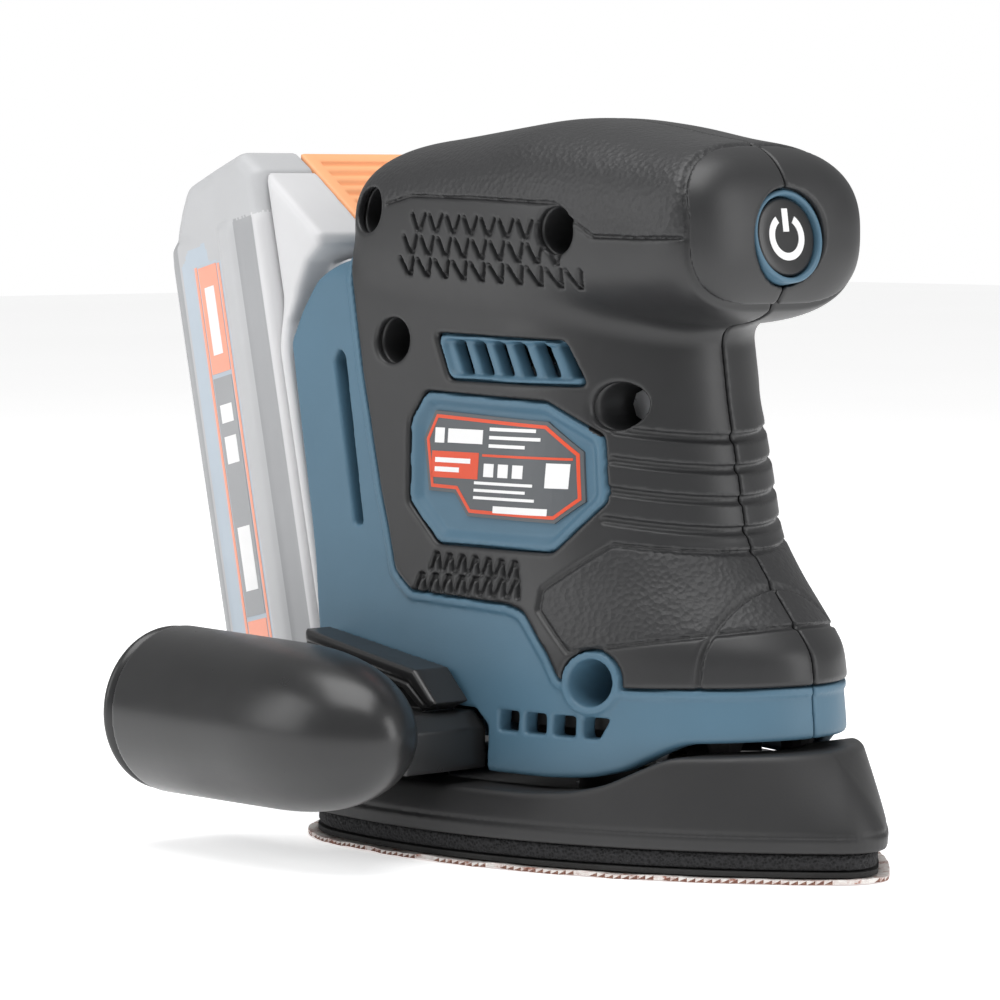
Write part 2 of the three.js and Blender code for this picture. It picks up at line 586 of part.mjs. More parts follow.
function addDustBox() {
  const around = (inset) => canister(inset).rotateZ(-Math.PI / 2).translate(0, CANISTER_Y, CANISTER_Z);
  const wall = solid(around(0)).subtract(solid(around(CANISTER_WALL)));
  const mouth = solid(boxBetween([-BIG, -BIG, -BIG], [CANISTER_REAR_X + 0.01, BIG, BIG]));
  const port = solid(prismY(grown(DUCT, GAP), CANISTER_Y, 0));
  addMesh("dust_canister", wall.subtract(mouth).subtract(port), BLACK);

  const clear = solid(bodyLoft(-GAP));
  const hood = solid(prismY(HOOD, -47, -34)).add(solid(prismY(HOOD_PLATE, -43.5, -34))).subtract(clear);
  const tube = solid(prismY(DUCT, -56.5, -34.7));
  const bore = solid(prismY(DUCT_BORE, -60, -30));
  addMesh("dust_duct", tube.add(hood).subtract(bore), BLACK);

  const cap = solid(cylinderX(CANISTER_REAR_X - 5, CANISTER_REAR_X - GAP, CANISTER_RADIUS, 20))
    .add(solid(cylinderX(CANISTER_REAR_X - 1, CANISTER_REAR_X + 5, CANISTER_RADIUS - CANISTER_WALL - GAP, 20)));
  addMesh("dust_cap", cap, BLACK);
  addMesh("dust_filter", pleatedFilter(CANISTER_REAR_X + 5 + GAP, -40), FILTER);
}

// A bullet about the Y axis, nose up, shrunk by inset.
function canister(inset) {
  const nose = CANISTER_NOSE_X - inset;
  const shoulder = -17;
  const radius = (x) => CANISTER_RADIUS - inset - (x - CANISTER_REAR_X) * 0.012;
  const points = [new THREE.Vector2(0, CANISTER_REAR_X - inset * 3), new THREE.Vector2(radius(CANISTER_REAR_X), CANISTER_REAR_X - inset * 3)];
  for (let i = 0; i <= 6; i++) {
    const turn = i / 6 * Math.PI / 2;
    points.push(new THREE.Vector2(i === 6 ? 0 : radius(shoulder) * Math.cos(turn), shoulder + (nose - shoulder) * Math.sin(turn)));
  }
  return new THREE.LatheGeometry(points, 20);
}

function cylinderX(x0, x1, radius, sides) {
  const geometry = new THREE.CylinderGeometry(radius, radius, x1 - x0, sides).rotateZ(Math.PI / 2);
  return geometry.translate((x0 + x1) / 2, CANISTER_Y, CANISTER_Z);
}

function pleatedFilter(x0, x1) {
  const star = [...Array(32).keys()].map((i) => {
    const [turn, radius] = [i / 32 * 2 * Math.PI, i % 2 ? 9 : 12.5];
    return [radius * Math.cos(turn), radius * Math.sin(turn)];
  });
  return prismZ(shapeOf(star), 0, x1 - x0).rotateY(Math.PI / 2).translate(x0, CANISTER_Y, CANISTER_Z);
}

// ---------------------------------------------------------------- the battery pack

// In the pack's own frame X points at the tool, Z up along the rails, and the origin is on the back
// plane at the pack's lower end.
const PACK_SIDE = [
  [-PACK_DEPTH + 4, 0], [-3.3, 0], [-3.3, 106.9], [-8.5, PACK_TOP], [-28, PACK_LENGTH + 1.5],
  [-PACK_DEPTH, PACK_LENGTH - 14], [-PACK_DEPTH + 1.5, 4],
];
// The thin lid on the pack's front, with a shoulder that leans over the top of the tool's back.
const PACK_LID = [[-3, 0], [-GAP, 0], [-GAP, 73], [3, 79.5], [7, 84.5], [12, 87], [12.4, 89.5], [-3, 106.6]];
const LATCH_POCKET = [[-6, 87], [BIG, 87], [BIG, BIG], [-12, BIG], [-12, 104], [-6, 99]];
const LATCH = [[-0.5, 88.5], [9.7, 88.5], [9.7, 92.4], [-8.3, 112.3], [-8.6, 110], [-3, 103], [-2.8, 98]];
const latchPocket = () => solid(prismY(LATCH_POCKET, -LATCH_HALF_WIDTH - GAP, LATCH_HALF_WIDTH + GAP));

function addBattery() {
  const pack = new THREE.Group();
  pack.position.copy(PACK_AT);
  pack.rotation.y = -LEAN;
  sander.add(pack);

  const outer = solid(prismY(PACK_SIDE, -PACK_HALF_WIDTH, PACK_HALF_WIDTH));
  const inner = solid(prismY(grown(PACK_SIDE, -2.4), 2.4 - PACK_HALF_WIDTH, PACK_HALF_WIDTH - 2.4));
  const opening = solid(boxBetween([-8, 2.6 - PACK_HALF_WIDTH, 2.6], [0, PACK_HALF_WIDTH - 2.6, PACK_LENGTH - 2.6]));
  addMesh("pack_rear_case", outer.subtract(inner).subtract(opening).subtract(latchPocket()), PALE_GREY, pack);

  const plate = solid(boxBetween([-3, -PACK_HALF_WIDTH, 0], [-GAP, PACK_HALF_WIDTH, 100]));
  const lid = solid(prismY(PACK_LID, -LID_HALF_WIDTH, LID_HALF_WIDTH)).add(plate);
  const neck = solid(boxBetween([-1, -NECK_HALF_WIDTH, 12], [NECK_DEPTH, NECK_HALF_WIDTH, NECK_TOP]));
  const core = solid(boxBetween([-9, 2.4 - NECK_HALF_WIDTH, 26], [NECK_DEPTH - 2.4, NECK_HALF_WIDTH - 2.4, 78]));
  let front = lid.add(neck).subtract(core);
  for (const side of [-1, 1]) {
    const groove = boxBetween([3.5, Math.min(side * 22.5, side * 30), 10], [7.5, Math.max(side * 22.5, side * 30), NECK_TOP - 6]);
    front = front.subtract(solid(groove));
    const slot = boxBetween([4, side * 12 - 1.2, 10], [13, side * 12 + 1.2, 25]);
    front = front.subtract(solid(slot));
  }
  addMesh("pack_front_case", front.subtract(latchPocket()), PALE_GREY, pack);
  addMesh("pack_latch", latch(), PALE_ORANGE, pack);
  for (let i = 0; i < 5; i++) {
    const cell = new THREE.CylinderGeometry(CELL_RADIUS, CELL_RADIUS, 65, 14);
    addMesh("cell_" + (i + 1), cell.translate(-18, 0, 12.5 + i * 18.8), CELL_WRAP, pack);
  }
  addMesh("pack_board", boxBetween([-7.5, -24, 20], [-6, 24, 84]), BOARD, pack);
  [-1, 1].forEach((side) => addMesh(side < 0 ? "pack_stripe_right" : "pack_stripe_left",
    boxBetween([-25, Math.min(side * (PACK_HALF_WIDTH + GAP), side * (PACK_HALF_WIDTH + 0.9)), 6],
      [-14, Math.max(side * (PACK_HALF_WIDTH + GAP), side * (PACK_HALF_WIDTH + 0.9)), 86]), PALE_ORANGE, pack));
}

// The release button: a wedge with five ribs across its sloping face.
function latch() {
  const [low, high] = [LATCH[2], LATCH[3]];
  const wedge = solid(prismY(LATCH, -LATCH_HALF_WIDTH, LATCH_HALF_WIDTH));
  return [1, 2, 3, 4].reduce((left, i) => {
    const rib = boxBetween([-0.7, -14, -0.7], [0.7, 14, 0.7]).rotateY(Math.PI / 4);
    const along = i / 5;
    const at = [low[0] + (high[0] - low[0]) * along, 0, low[1] + (high[1] - low[1]) * along];
    return left.subtract(solid(rib.translate(...at)));
  }, wedge);
}

function addTerminals() {
  const terminals = new THREE.Group();
  terminals.position.copy(PACK_AT);
  terminals.rotation.y = -LEAN;
  sander.add(terminals);
  addMesh("terminal_block", boxBetween([2, -20, 2.6], [NECK_DEPTH, 20, 9]), BLACK, terminals);
  for (const [side, name] of [[-1, "terminal_blade_right"], [1, "terminal_blade_left"]]) {
    addMesh(name, boxBetween([5, side * 12 - 0.4, 9.3], [11, side * 12 + 0.4, 23]), BRASS, terminals);
  }
}

// A lead of two bends between the pack's terminals, the board and the motor.
function lead(points, radius) {
  const path = new THREE.CatmullRomCurve3(points.map((p) => new THREE.Vector3(...p)));
  const section = new THREE.Shape().absarc(0, 0, radius, 0, 2 * Math.PI, false);
  return new THREE.ExtrudeGeometry(section, { steps: 12, curveSegments: 3, extrudePath: path });
}

function addLeads() {
  addMesh("battery_lead", lead([[-36, 8, 62], [-28, 8, 78], [-24, 8, 104], [-14, 8, 130], [6, 7, 139], [22, 6, 134], [30, 5, 127]], 1.1), RED_WIRE);
  addMesh("motor_lead", lead([[31, -5, 122], [24, -6, 118], [14, -8, 114], [8, -9, 105], [4, -10, 96], [2, -10, 86.5]], 1.1), RUBBER);
}

addHousing();
addButton();
addMotor();
addInnerFrame();
addPad();
addDustBox();
addBattery();
addTerminals();
addLeads();

export default sander;
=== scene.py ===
"""Looks of a cordless detail sander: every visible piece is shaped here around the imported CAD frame."""

import math

import bpy
import numpy as np
import openvdb
from mathutils import Matrix, Vector, geometry


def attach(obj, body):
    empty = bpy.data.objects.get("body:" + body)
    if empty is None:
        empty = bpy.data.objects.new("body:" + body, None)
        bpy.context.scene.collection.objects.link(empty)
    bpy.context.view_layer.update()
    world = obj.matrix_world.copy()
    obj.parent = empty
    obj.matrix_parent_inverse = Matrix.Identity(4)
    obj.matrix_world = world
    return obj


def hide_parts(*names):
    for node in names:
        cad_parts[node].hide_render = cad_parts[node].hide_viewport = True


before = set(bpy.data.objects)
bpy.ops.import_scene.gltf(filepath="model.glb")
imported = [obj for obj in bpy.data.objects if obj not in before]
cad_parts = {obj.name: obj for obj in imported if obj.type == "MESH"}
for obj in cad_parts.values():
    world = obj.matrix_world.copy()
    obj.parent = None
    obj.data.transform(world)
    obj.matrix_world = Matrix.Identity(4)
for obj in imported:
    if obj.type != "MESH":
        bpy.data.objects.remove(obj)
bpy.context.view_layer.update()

MM = 0.001
STEP = 0.42

# Sizes in millimetres, in the frame's own axes: X forward, Y to the left, Z up.
SKIN = 2.0
WALL_DEPTH = 4.8
SEAM = 0.16
WELL_RADIUS = 4.7
WELL_FLOOR = -9.0
SCREW_HOLE = 1.7
WELLS = [(9, 127), (-39, 104), (16.5, 92), (21, 37.5), (-46, 131)]
BAND_WELL = (21, 37.5)
BUTTON_AT = (45.0, 0.0, 126.0)
BUTTON_TILT = math.radians(9)
LEAN = math.radians(13)
PACK_BOTTOM_Z = 36.0
BACK_TOP_X, BACK_TOP_Z = -71.2, 105.0
PACK_AT = (BACK_TOP_X + (BACK_TOP_Z - PACK_BOTTOM_Z) * math.tan(LEAN), 0.0, PACK_BOTTOM_Z)
CANISTER_Y, CANISTER_Z = -70.0, 27.8
CANISTER_RADIUS, CANISTER_WALL = 17.4, 1.8
CANISTER_REAR_X, CANISTER_NOSE_X = -63.0, 8.5
PIN_X = 5.0
DUST_HOLES = [(36, -13), (36, 13), (-2, -27), (-2, 27), (-38, -25), (-38, 25)]
DUST_HOLE_RADIUS = 4.0

# The housing's body by height: front, nose length, half width near the nose, half width at the back.
BODY = [
    (10, 52.5, 62, 33, 41), (27, 54.4, 62, 33, 41), (38, 53.3, 60, 32, 40.5), (44, 52.6, 58, 31, 40),
    (49, 47.8, 52, 30, 39.5), (57, 40.6, 46, 28, 38.5), (65, 34, 40, 27, 38), (78, 31.4, 38, 26, 37.5),
    (92, 28.3, 37, 25, 37), (104, 26.5, 36, 24.5, 36.5), (114, 25, 36, 24, 36.2), (122, 24, 36, 24, 35.5),
]
BODY_TOP = 122.0
# The head along X: half width, top, bottom, before its two ends are rounded off.
HEAD = [
    (-57, 34, 145.0, 110), (-40, 34, 146.3, 109), (-30, 33.5, 147.5, 108), (-6, 32, 150.3, 107),
    (10, 30, 148.5, 107), (24, 27.8, 146, 107.5), (36, 26, 144.5, 108.8), (46, 25.2, 143.5, 109),
]
REAR_EDGE = [(-70.74, 103), (-67.8, 110), (-63.6, 117), (-58, 122), (-57.6, 160), (90, 160), (90, -20), (-42.34, -20)]
BELLY = [(-90, 17.8), (12, 17.8), (21, 18.5), (28, 20.3), (33, 23.2), (38.5, 26.2), (60, 27.3)]
BAND = [
    (70, 5), (70, 37.9), (28, 36.6), (14, 37.2), (10.5, 42.5), (3, 50.5), (-1.5, 51.6), (-29, 52.6),
    (-34.5, 56.5), (-40.4, 73), (-47.5, 97.5), (-53.2, 122.6), (-53.5, 130), (-95, 130), (-95, 5),
]
VENT_WINDOW = [(-22.5, 96.4), (11, 95.8), (6, 104.7), (-27, 105.8)]
LABEL_WINDOW = [
    (-32, 71), (-23, 62.8), (7.5, 62.5), (17, 73), (15, 86), (3, 92.5), (-29, 93.8), (-33, 87.7),
]
RATING_LABEL = [
    (-27.5, 73.4), (-20.3, 73.2), (-16.3, 68.6), (6.3, 68.2), (12.3, 72.8), (10.9, 82.7), (2.9, 88.5),
    (-26.9, 89.9), (-29.7, 84.1),
]
DUCT_NOTCH = [(-37, 5), (-4.4, 5), (-3.9, 27.2), (-7.7, 30.4), (-37, 30.8)]
WING_SLOT = [(-48, 65.2), (-45.6, 65.4), (-53.4, 100.5), (-55.2, 102), (-56.4, 99.4)]
GRIP_PANEL = [(70, 58), (34, 63), (19.1, 64.5), (6.9, 55.1), (7, 51.1), (15.4, 43.3), (47.6, 48.7), (70, 51.5)]
HEAD_LINE = [
    [(-39.3, 132.4), (-32.7, 133.9), (-13.2, 133.5), (8.8, 132.5), (11.8, 130.7)],
    [(13, 129.5), (18.9, 126.0), (29.5, 125.7), (41, 125.8)],
]
NECK_RIDGES = [87.2, 81.3, 75.3, 69.4]
DUCT = [(-35.5, 18.2), (-6, 18.2), (-6, 26.6), (-9.3, 29.8), (-35.5, 29.8)]
DUCT_BORE = [(-33.7, 20), (-7.8, 20), (-7.8, 25.8), (-10, 28), (-33.7, 28)]
HOOD = [(-50.5, 39.7), (-18.6, 34.2), (-12.4, 30.1), (-8.2, 31.9), (-14.7, 38.2), (-50.5, 43.9)]
HOOD_PLATE = [(-34, 28.6), (-13, 28.6), (-13, 30.4), (-19, 35), (-48, 40.2), (-48, 36)]


# ---------------------------------------------------------------- distance fields

def smooth_max(a, b, radius):
    """The larger of two distances, rounded where they are nearly equal."""
    near = np.maximum(radius - np.abs(a - b), 0)
    return np.maximum(a, b) + near * near * (0.25 / radius)


def smooth_min(a, b, radius):
    return -smooth_max(-a, -b, radius)


def cut(body, tool, radius=0.5):
    return smooth_max(body, -tool, radius)


def ramp(value, low, high):
    t = np.clip((value - low) / (high - low), 0, 1)
    return t * t * (3 - 2 * t)


def blur(values, sigma, step, axis):
    """A Gaussian blur along one axis, with the edge values carried outwards."""
    reach = int(3 * sigma / step) + 1
    weights = np.exp(-0.5 * (np.arange(-reach, reach + 1) * step / sigma) ** 2)
    weights /= weights.sum()
    pad = [(0, 0)] * values.ndim
    pad[axis] = (reach, reach)
    padded = np.pad(values, pad, mode="edge")
    count = values.shape[axis]
    return sum(w * np.take(padded, range(i, i + count), axis) for i, w in enumerate(weights)).astype(np.float32)


class Block:
    """A box of space sampled on a regular grid. Its axes broadcast against each other."""

    def __init__(self, low, high, step):
        self.low, self.step = low, step
        counts = [int(math.ceil((b - a) / step)) + 1 for a, b in zip(low, high)]
        axes = [(a + np.arange(n) * step).astype(np.float32) for a, n in zip(low, counts)]
        self.x, self.y, self.z = axes[0][:, None, None], axes[1][None, :, None], axes[2][None, None, :]


def outline(u, v, points):
    """Signed distance to a closed outline, negative inside."""
    best = np.full(np.broadcast(u, v).shape, 1e9, np.float32)
    inside = np.zeros(best.shape, bool)
    for (ax, ay), (bx, by) in zip(points, points[1:] + points[:1]):
        best = np.minimum(best, segment(u, v, (ax, ay), (bx, by)))
        if ay != by:
            inside ^= ((ay > v) != (by > v)) & (u < (bx - ax) * (v - ay) / (by - ay) + ax)
    return np.where(inside, -best, best)


def segment(u, v, a, b):
    ex, ey = b[0] - a[0], b[1] - a[1]
    t = np.clip(((u - a[0]) * ex + (v - a[1]) * ey) / (ex * ex + ey * ey), 0, 1)
    return np.hypot(u - a[0] - t * ex, v - a[1] - t * ey)


def path(u, v, points):
    """Distance to an open line of straight pieces."""
    best = segment(u, v, points[0], points[1])
    for a, b in zip(points[1:], points[2:]):
        best = np.minimum(best, segment(u, v, a, b))
    return best


def side_outline(block, points, rounding=0.0):
    """An outline in X and Z as a field over the block, its corners rounded."""
    field = outline(block.x, block.z, points)
    if rounding:
        field = blur(blur(field, rounding, block.step, 0), rounding, block.step, 2)
    return field


def as_distance(q, step):
    """A field that is 1 on a surface, turned into a distance near that surface."""
    slopes = np.gradient(q, step)
    length = np.sqrt(slopes[0] ** 2 + slopes[1] ** 2 + slopes[2] ** 2)
    return (q - 1) / np.maximum(length, 1e-4)


# ---------------------------------------------------------------- meshes

def largest_parts(count, faces, least):
    """Marks the faces that belong to connected parts with at least that many vertices."""
    label = np.arange(count)
    while True:
        lowest = label[faces].min(axis=1)
        spread = label.copy()
        np.minimum.at(spread, faces.ravel(), np.repeat(lowest, faces.shape[1]))
        spread = spread[spread]
        if (spread == label).all():
            break
        label = spread
    sizes = np.bincount(label, minlength=count)
    return sizes[label[faces[:, 0]]] >= least


def mesh_object(name, points, faces, materials, choose=None, smooth=True):
    """A mesh object from points in millimetres and an array of faces with equal corner counts."""
    points = np.asarray(points, np.float32)
    faces = np.asarray(faces, np.int32)
    used = np.unique(faces)
    renumber = np.zeros(len(points), np.int32)
    renumber[used] = np.arange(len(used))
    points, faces = points[used], renumber[faces]
    mesh = bpy.data.meshes.new(name)
    mesh.vertices.add(len(points))
    mesh.vertices.foreach_set("co", (points * MM).ravel())
    corners = faces.shape[1]
    mesh.loops.add(faces.size)
    mesh.loops.foreach_set("vertex_index", faces.ravel())
    mesh.polygons.add(len(faces))
    mesh.polygons.foreach_set("loop_start", np.arange(len(faces), dtype=np.int32) * corners)
    for made in materials:
        mesh.materials.append(made)
    if choose is not None:
        mesh.polygons.foreach_set("material_index", choose(points[faces].mean(axis=1)).astype(np.int32))
    mesh.polygons.foreach_set("use_smooth", np.full(len(faces), smooth))
    mesh.update(calc_edges=True)
    mesh.validate()
    piece = bpy.data.objects.new(name, mesh)
    bpy.context.scene.collection.objects.link(piece)
    return piece


def surface_of(block, field, least=400):
    """The points and quads of a field's zero surface, without small loose crumbs."""
    band = 3 * block.step
    values = np.clip(np.broadcast_to(field, (block.x.size, block.y.size, block.z.size)), -band, band)
    values = np.ascontiguousarray(values, dtype=np.float32)
    for axis in range(3):
        edge = [slice(None)] * 3
        for end in (0, -1):
            edge[axis] = end
            values[tuple(edge)] = band
    grid = openvdb.FloatGrid(band)
    grid.copyFromArray(values)
    points, _, quads = grid.convertToPolygons(isovalue=0.0, adaptivity=0.0)
    quads = quads.astype(np.int64)
    points = points * block.step + np.array(block.low)
    a, b, c, d = (points[quads[:, i]] for i in range(4))
    volume = (np.cross(b - a, c - a) * a).sum() + (np.cross(c - a, d - a) * a).sum()
    if volume < 0:
        quads = quads[:, ::-1]
    quads = quads[largest_parts(len(points), quads, least)]
    return points, quads


def mirrored(points, quads):
    return points * np.array([1, -1, 1]), quads[:, ::-1]


def finished(piece, body, slot, *nodes):
    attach(piece, body)
    if nodes:
        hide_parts(*nodes)
    return piece


# ---------------------------------------------------------------- materials

class Nodes:
    """A node tree under construction for one material."""

    def __init__(self, name):
        self.made = bpy.data.materials.new(name)
        self.made.use_nodes = True
        self.tree = self.made.node_tree
        self.shader = self.tree.nodes["Principled BSDF"]
        self.place = self.add("ShaderNodeTexCoord").outputs["Object"]

    def add(self, kind, **inputs):
        node = self.tree.nodes.new(kind)
        for key, value in inputs.items():
            node.inputs[key.replace("_", " ")].default_value = value
        return node

    def link(self, source, target):
        self.tree.links.new(source, target)

    def noise(self, scale, detail=3.0, roughness=0.55):
        node = self.add("ShaderNodeTexNoise", Scale=scale, Detail=detail, Roughness=roughness)
        self.link(self.place, node.inputs["Vector"])
        return node.outputs["Fac"]

    def cells(self, scale, randomness=1.0):
        node = self.add("ShaderNodeTexVoronoi", Scale=scale, Randomness=randomness)
        self.link(self.place, node.inputs["Vector"])
        return node.outputs["Distance"]

    def colours(self, source, stops):
        node = self.add("ShaderNodeValToRGB")
        elements = node.color_ramp.elements
        while len(elements) < len(stops):
            elements.new(0.5)
        for element, (at, colour) in zip(elements, stops):
            element.position = at
            element.color = (*colour, 1)
        self.link(source, node.inputs["Fac"])
        return node.outputs["Color"]

    def range(self, source, low, high):
        node = self.add("ShaderNodeMapRange", To_Min=low, To_Max=high)
        self.link(source, node.inputs["Value"])
        return node.outputs["Result"]

    def bump(self, height, strength, distance, before=None):
        node = self.add("ShaderNodeBump", Strength=strength, Distance=distance)
        self.link(height, node.inputs["Height"])
        if before is not None:
            self.link(before, node.inputs["Normal"])
        return node.outputs["Normal"]


def tinted(colour, factor):
    return tuple(min(1.0, c * factor) for c in colour)


def plastic(name, colour, roughness, texture=0.012, contrast=0.1, texture_scale=2600, grain=None, clear=0.5):
    """Moulded plastic: faint colour blotches, uneven gloss and a fine spark-eroded surface.

    grain = (scale per metre, depth in metres) adds a leather-like pattern of cells."""
    n = Nodes(name)
    blotch = n.noise(38, 5, 0.6)
    stops = [(0.3, tinted(colour, 1 - contrast)), (0.7, tinted(colour, 1 + contrast))]
    n.link(n.colours(blotch, stops), n.shader.inputs["Base Color"])
    smear = n.noise(120, 4, 0.65)
    n.link(n.range(smear, roughness - 0.07, roughness + 0.07), n.shader.inputs["Roughness"])
    n.shader.inputs["Specular IOR Level"].default_value = clear
    normal = n.bump(n.noise(texture_scale, 2), 0.5, texture * MM)
    if grain:
        wrinkles = n.cells(grain[0])
        normal = n.bump(wrinkles, 0.9, grain[1], normal)
        normal = n.bump(n.noise(grain[0] * 1.7, 3), 0.6, grain[1] * 0.7, normal)
    n.link(normal, n.shader.inputs["Normal"])
    return n.made


def metal(name, colour, roughness, brushed=900):
    n = Nodes(name)
    n.link(n.colours(n.noise(60, 5), [(0.3, tinted(colour, 0.85)), (0.75, colour)]), n.shader.inputs["Base Color"])
    n.shader.inputs["Metallic"].default_value = 1.0
    n.link(n.range(n.noise(brushed, 4), roughness - 0.08, roughness + 0.1), n.shader.inputs["Roughness"])
    n.link(n.bump(n.noise(brushed * 2, 3), 0.4, 0.01 * MM), n.shader.inputs["Normal"])
    return n.made


def foam_material():
    n = Nodes("open_foam")
    pores = n.cells(1500)
    n.link(n.colours(pores, [(0.0, (0.004, 0.004, 0.004)), (0.6, (0.028, 0.028, 0.03))]), n.shader.inputs["Base Color"])
    n.link(n.range(n.noise(500), 0.85, 1.0), n.shader.inputs["Roughness"])
    n.link(n.bump(pores, 1.0, 0.35 * MM), n.shader.inputs["Normal"])
    return n.made


def sheet_material():
    """Backing paper with a fluffy torn edge and reddish grains of abrasive."""
    n = Nodes("abrasive_sheet")
    spots = n.noise(420, 4, 0.7)
    stops = [(0.42, (0.76, 0.73, 0.70)), (0.56, (0.66, 0.58, 0.55)), (0.66, (0.33, 0.13, 0.09)), (0.8, (0.2, 0.06, 0.04))]
    n.link(n.colours(spots, stops), n.shader.inputs["Base Color"])
    n.link(n.range(n.noise(900), 0.8, 1.0), n.shader.inputs["Roughness"])
    n.link(n.bump(n.noise(2400, 4), 1.0, 0.2 * MM), n.shader.inputs["Normal"])
    return n.made


# Red-brown abrasive on the sheet's underside. Where it shows along the sheet's edge it is partly the grit's own colour
# and partly painted shade under the edge.
def grit_and_edge_shade_material():
    n = Nodes("abrasive_grit_and_edge_shade")
    grains = n.cells(2600)
    n.link(n.colours(grains, [(0.0, (0.42, 0.24, 0.16)), (0.55, (0.16, 0.06, 0.04))]), n.shader.inputs["Base Color"])
    n.link(n.range(n.noise(1500), 0.55, 0.9), n.shader.inputs["Roughness"])
    n.link(n.bump(grains, 1.0, 0.25 * MM), n.shader.inputs["Normal"])
    return n.made


def make_materials():
    black = (0.0185, 0.0188, 0.0198)
    blue = (0.066, 0.142, 0.205)
    return {
        "blue": plastic("blue_nylon", blue, 0.5, texture=0.03, contrast=0.05, texture_scale=1900),
        "skin": plastic("soft_grip_smooth", black, 0.42, texture=0.02, contrast=0.14),
        "grain": plastic("soft_grip_grained", (0.021, 0.0213, 0.0225), 0.46, texture=0.02, contrast=0.16, grain=(820, 0.16 * MM)),
        "satin": plastic("satin_black", (0.0165, 0.0168, 0.0175), 0.3, texture=0.008, contrast=0.14),
        "matte": plastic("matte_black", (0.0155, 0.0155, 0.0162), 0.5, texture=0.03, contrast=0.14, texture_scale=1700),
        "foam": foam_material(),
        "sheet": sheet_material(),
        "grit_and_edge_shade": grit_and_edge_shade_material(),
        "hook": plastic("hook_fabric", (0.03, 0.03, 0.03), 0.85, texture=0.2, contrast=0.3, texture_scale=1600),
        "label": plastic("label_film", (0.085, 0.092, 0.1), 0.4, texture=0.003, contrast=0.06),
        "orange": plastic("orange_print", (0.68, 0.07, 0.022), 0.42, texture=0.003, contrast=0.06),
        "white": plastic("white_print", (0.82, 0.82, 0.82), 0.42, texture=0.003, contrast=0.03),
        "grey": plastic("pale_grey_shell", (0.47, 0.475, 0.485), 0.5, texture=0.02, contrast=0.04),
        # Dark grey for the printed strip and the battery's rear corner, also used as painted shade in the battery's
        # side recess.
        "dark_grey_and_shade": plastic("pale_grey_panel_and_shade", (0.335, 0.34, 0.35), 0.5, texture=0.02, contrast=0.04),
        "grey_light": plastic("pale_grey_rail", (0.6, 0.6, 0.61), 0.5, texture=0.02, contrast=0.03),
        "pale_blue": plastic("pale_blue_panel", (0.44, 0.5, 0.56), 0.48, texture=0.02, contrast=0.04),
        "pale_orange": plastic("pale_orange_latch", (0.95, 0.43, 0.2), 0.5, texture=0.02, contrast=0.05),
        "salmon": plastic("pale_orange_strip", (0.86, 0.36, 0.26), 0.46, texture=0.01, contrast=0.05),
        "rubber": plastic("black_rubber", (0.012, 0.012, 0.012), 0.75, texture=0.05, contrast=0.2),
        "board": plastic("circuit_board", (0.012, 0.09, 0.035), 0.5, texture=0.02, contrast=0.25),
        "filter": plastic("filter_paper", (0.6, 0.56, 0.45), 0.9, texture=0.2, contrast=0.12, texture_scale=900),
        "wrap": plastic("cell_sleeve", (0.04, 0.19, 0.09), 0.35, texture=0.005, contrast=0.1),
        "wire": plastic("red_sleeve", (0.38, 0.015, 0.01), 0.5, texture=0.02, contrast=0.1),
        "steel": metal("bright_steel", (0.62, 0.63, 0.65), 0.3),
        "can": metal("motor_steel", (0.25, 0.26, 0.28), 0.45),
        "brass": metal("brass", (0.72, 0.5, 0.22), 0.3),
    }


# ---------------------------------------------------------------- the housing's outer surface

def table_column(rows, at, column, sigma, step):
    values = np.interp(at.ravel(), [row[0] for row in rows], [row[column] for row in rows])
    return blur(values, sigma, step, 0).reshape(at.shape)


def body_field(block):
    """1 on the surface of the housing's body, before the head is added."""
    front, nose, wide_front, wide_rear = (table_column(BODY, block.z, c, 1.8, block.step) for c in (1, 2, 3, 4))
    rear = BACK_TOP_X + (BACK_TOP_Z - block.z) * math.tan(LEAN)
    along = (block.x - rear) / (front - rear)
    into = np.clip((block.x - front + nose) / nose, 0, None)
    half_width = np.maximum(wide_rear + (wide_front - wide_rear) * along, 5)
    return np.sqrt((block.y / half_width) ** 2 + into ** 2.2)


def head_field(block):
    wide, top, bottom = (table_column(HEAD, block.x, c, 4.0, block.step) for c in (1, 2, 3))
    ends = np.maximum(np.clip((block.x - 30) / 16, 0, None), np.clip((-40 - block.x) / 17.3, 0, None))
    across = ((block.y / wide) ** 4 + ends ** 4) ** 0.65
    upward = np.abs((block.z - (top + bottom) / 2) / ((top - bottom) / 2)) ** 2.6
    return (across + upward) ** (1 / 2.6)


def outer_surface(block):
    body = as_distance(body_field(block), block.step)
    body = smooth_max(body, block.z - BODY_TOP + 0.5, 6)
    head = as_distance(head_field(block), block.step)
    joined = smooth_min(body, head, 5)
    return smooth_max(joined, side_outline(block, REAR_EDGE, 0.8), 1.4)


def button_fields(block):
    """Distance along the button's axis from its seat, and away from the axis."""
    cos, sin = math.cos(BUTTON_TILT), math.sin(BUTTON_TILT)
    x, z = block.x - BUTTON_AT[0], block.z - BUTTON_AT[2]
    return x * cos + z * sin, np.sqrt(block.y ** 2 + (z * cos - x * sin) ** 2)


def pack_axes(block):
    """Coordinates in the battery's leaning frame: towards the tool, and up along the rails."""
    cos, sin = math.cos(LEAN), math.sin(LEAN)
    x, z = block.x - PACK_AT[0], block.z - PACK_AT[2]
    return x * cos + z * sin, z * cos - x * sin


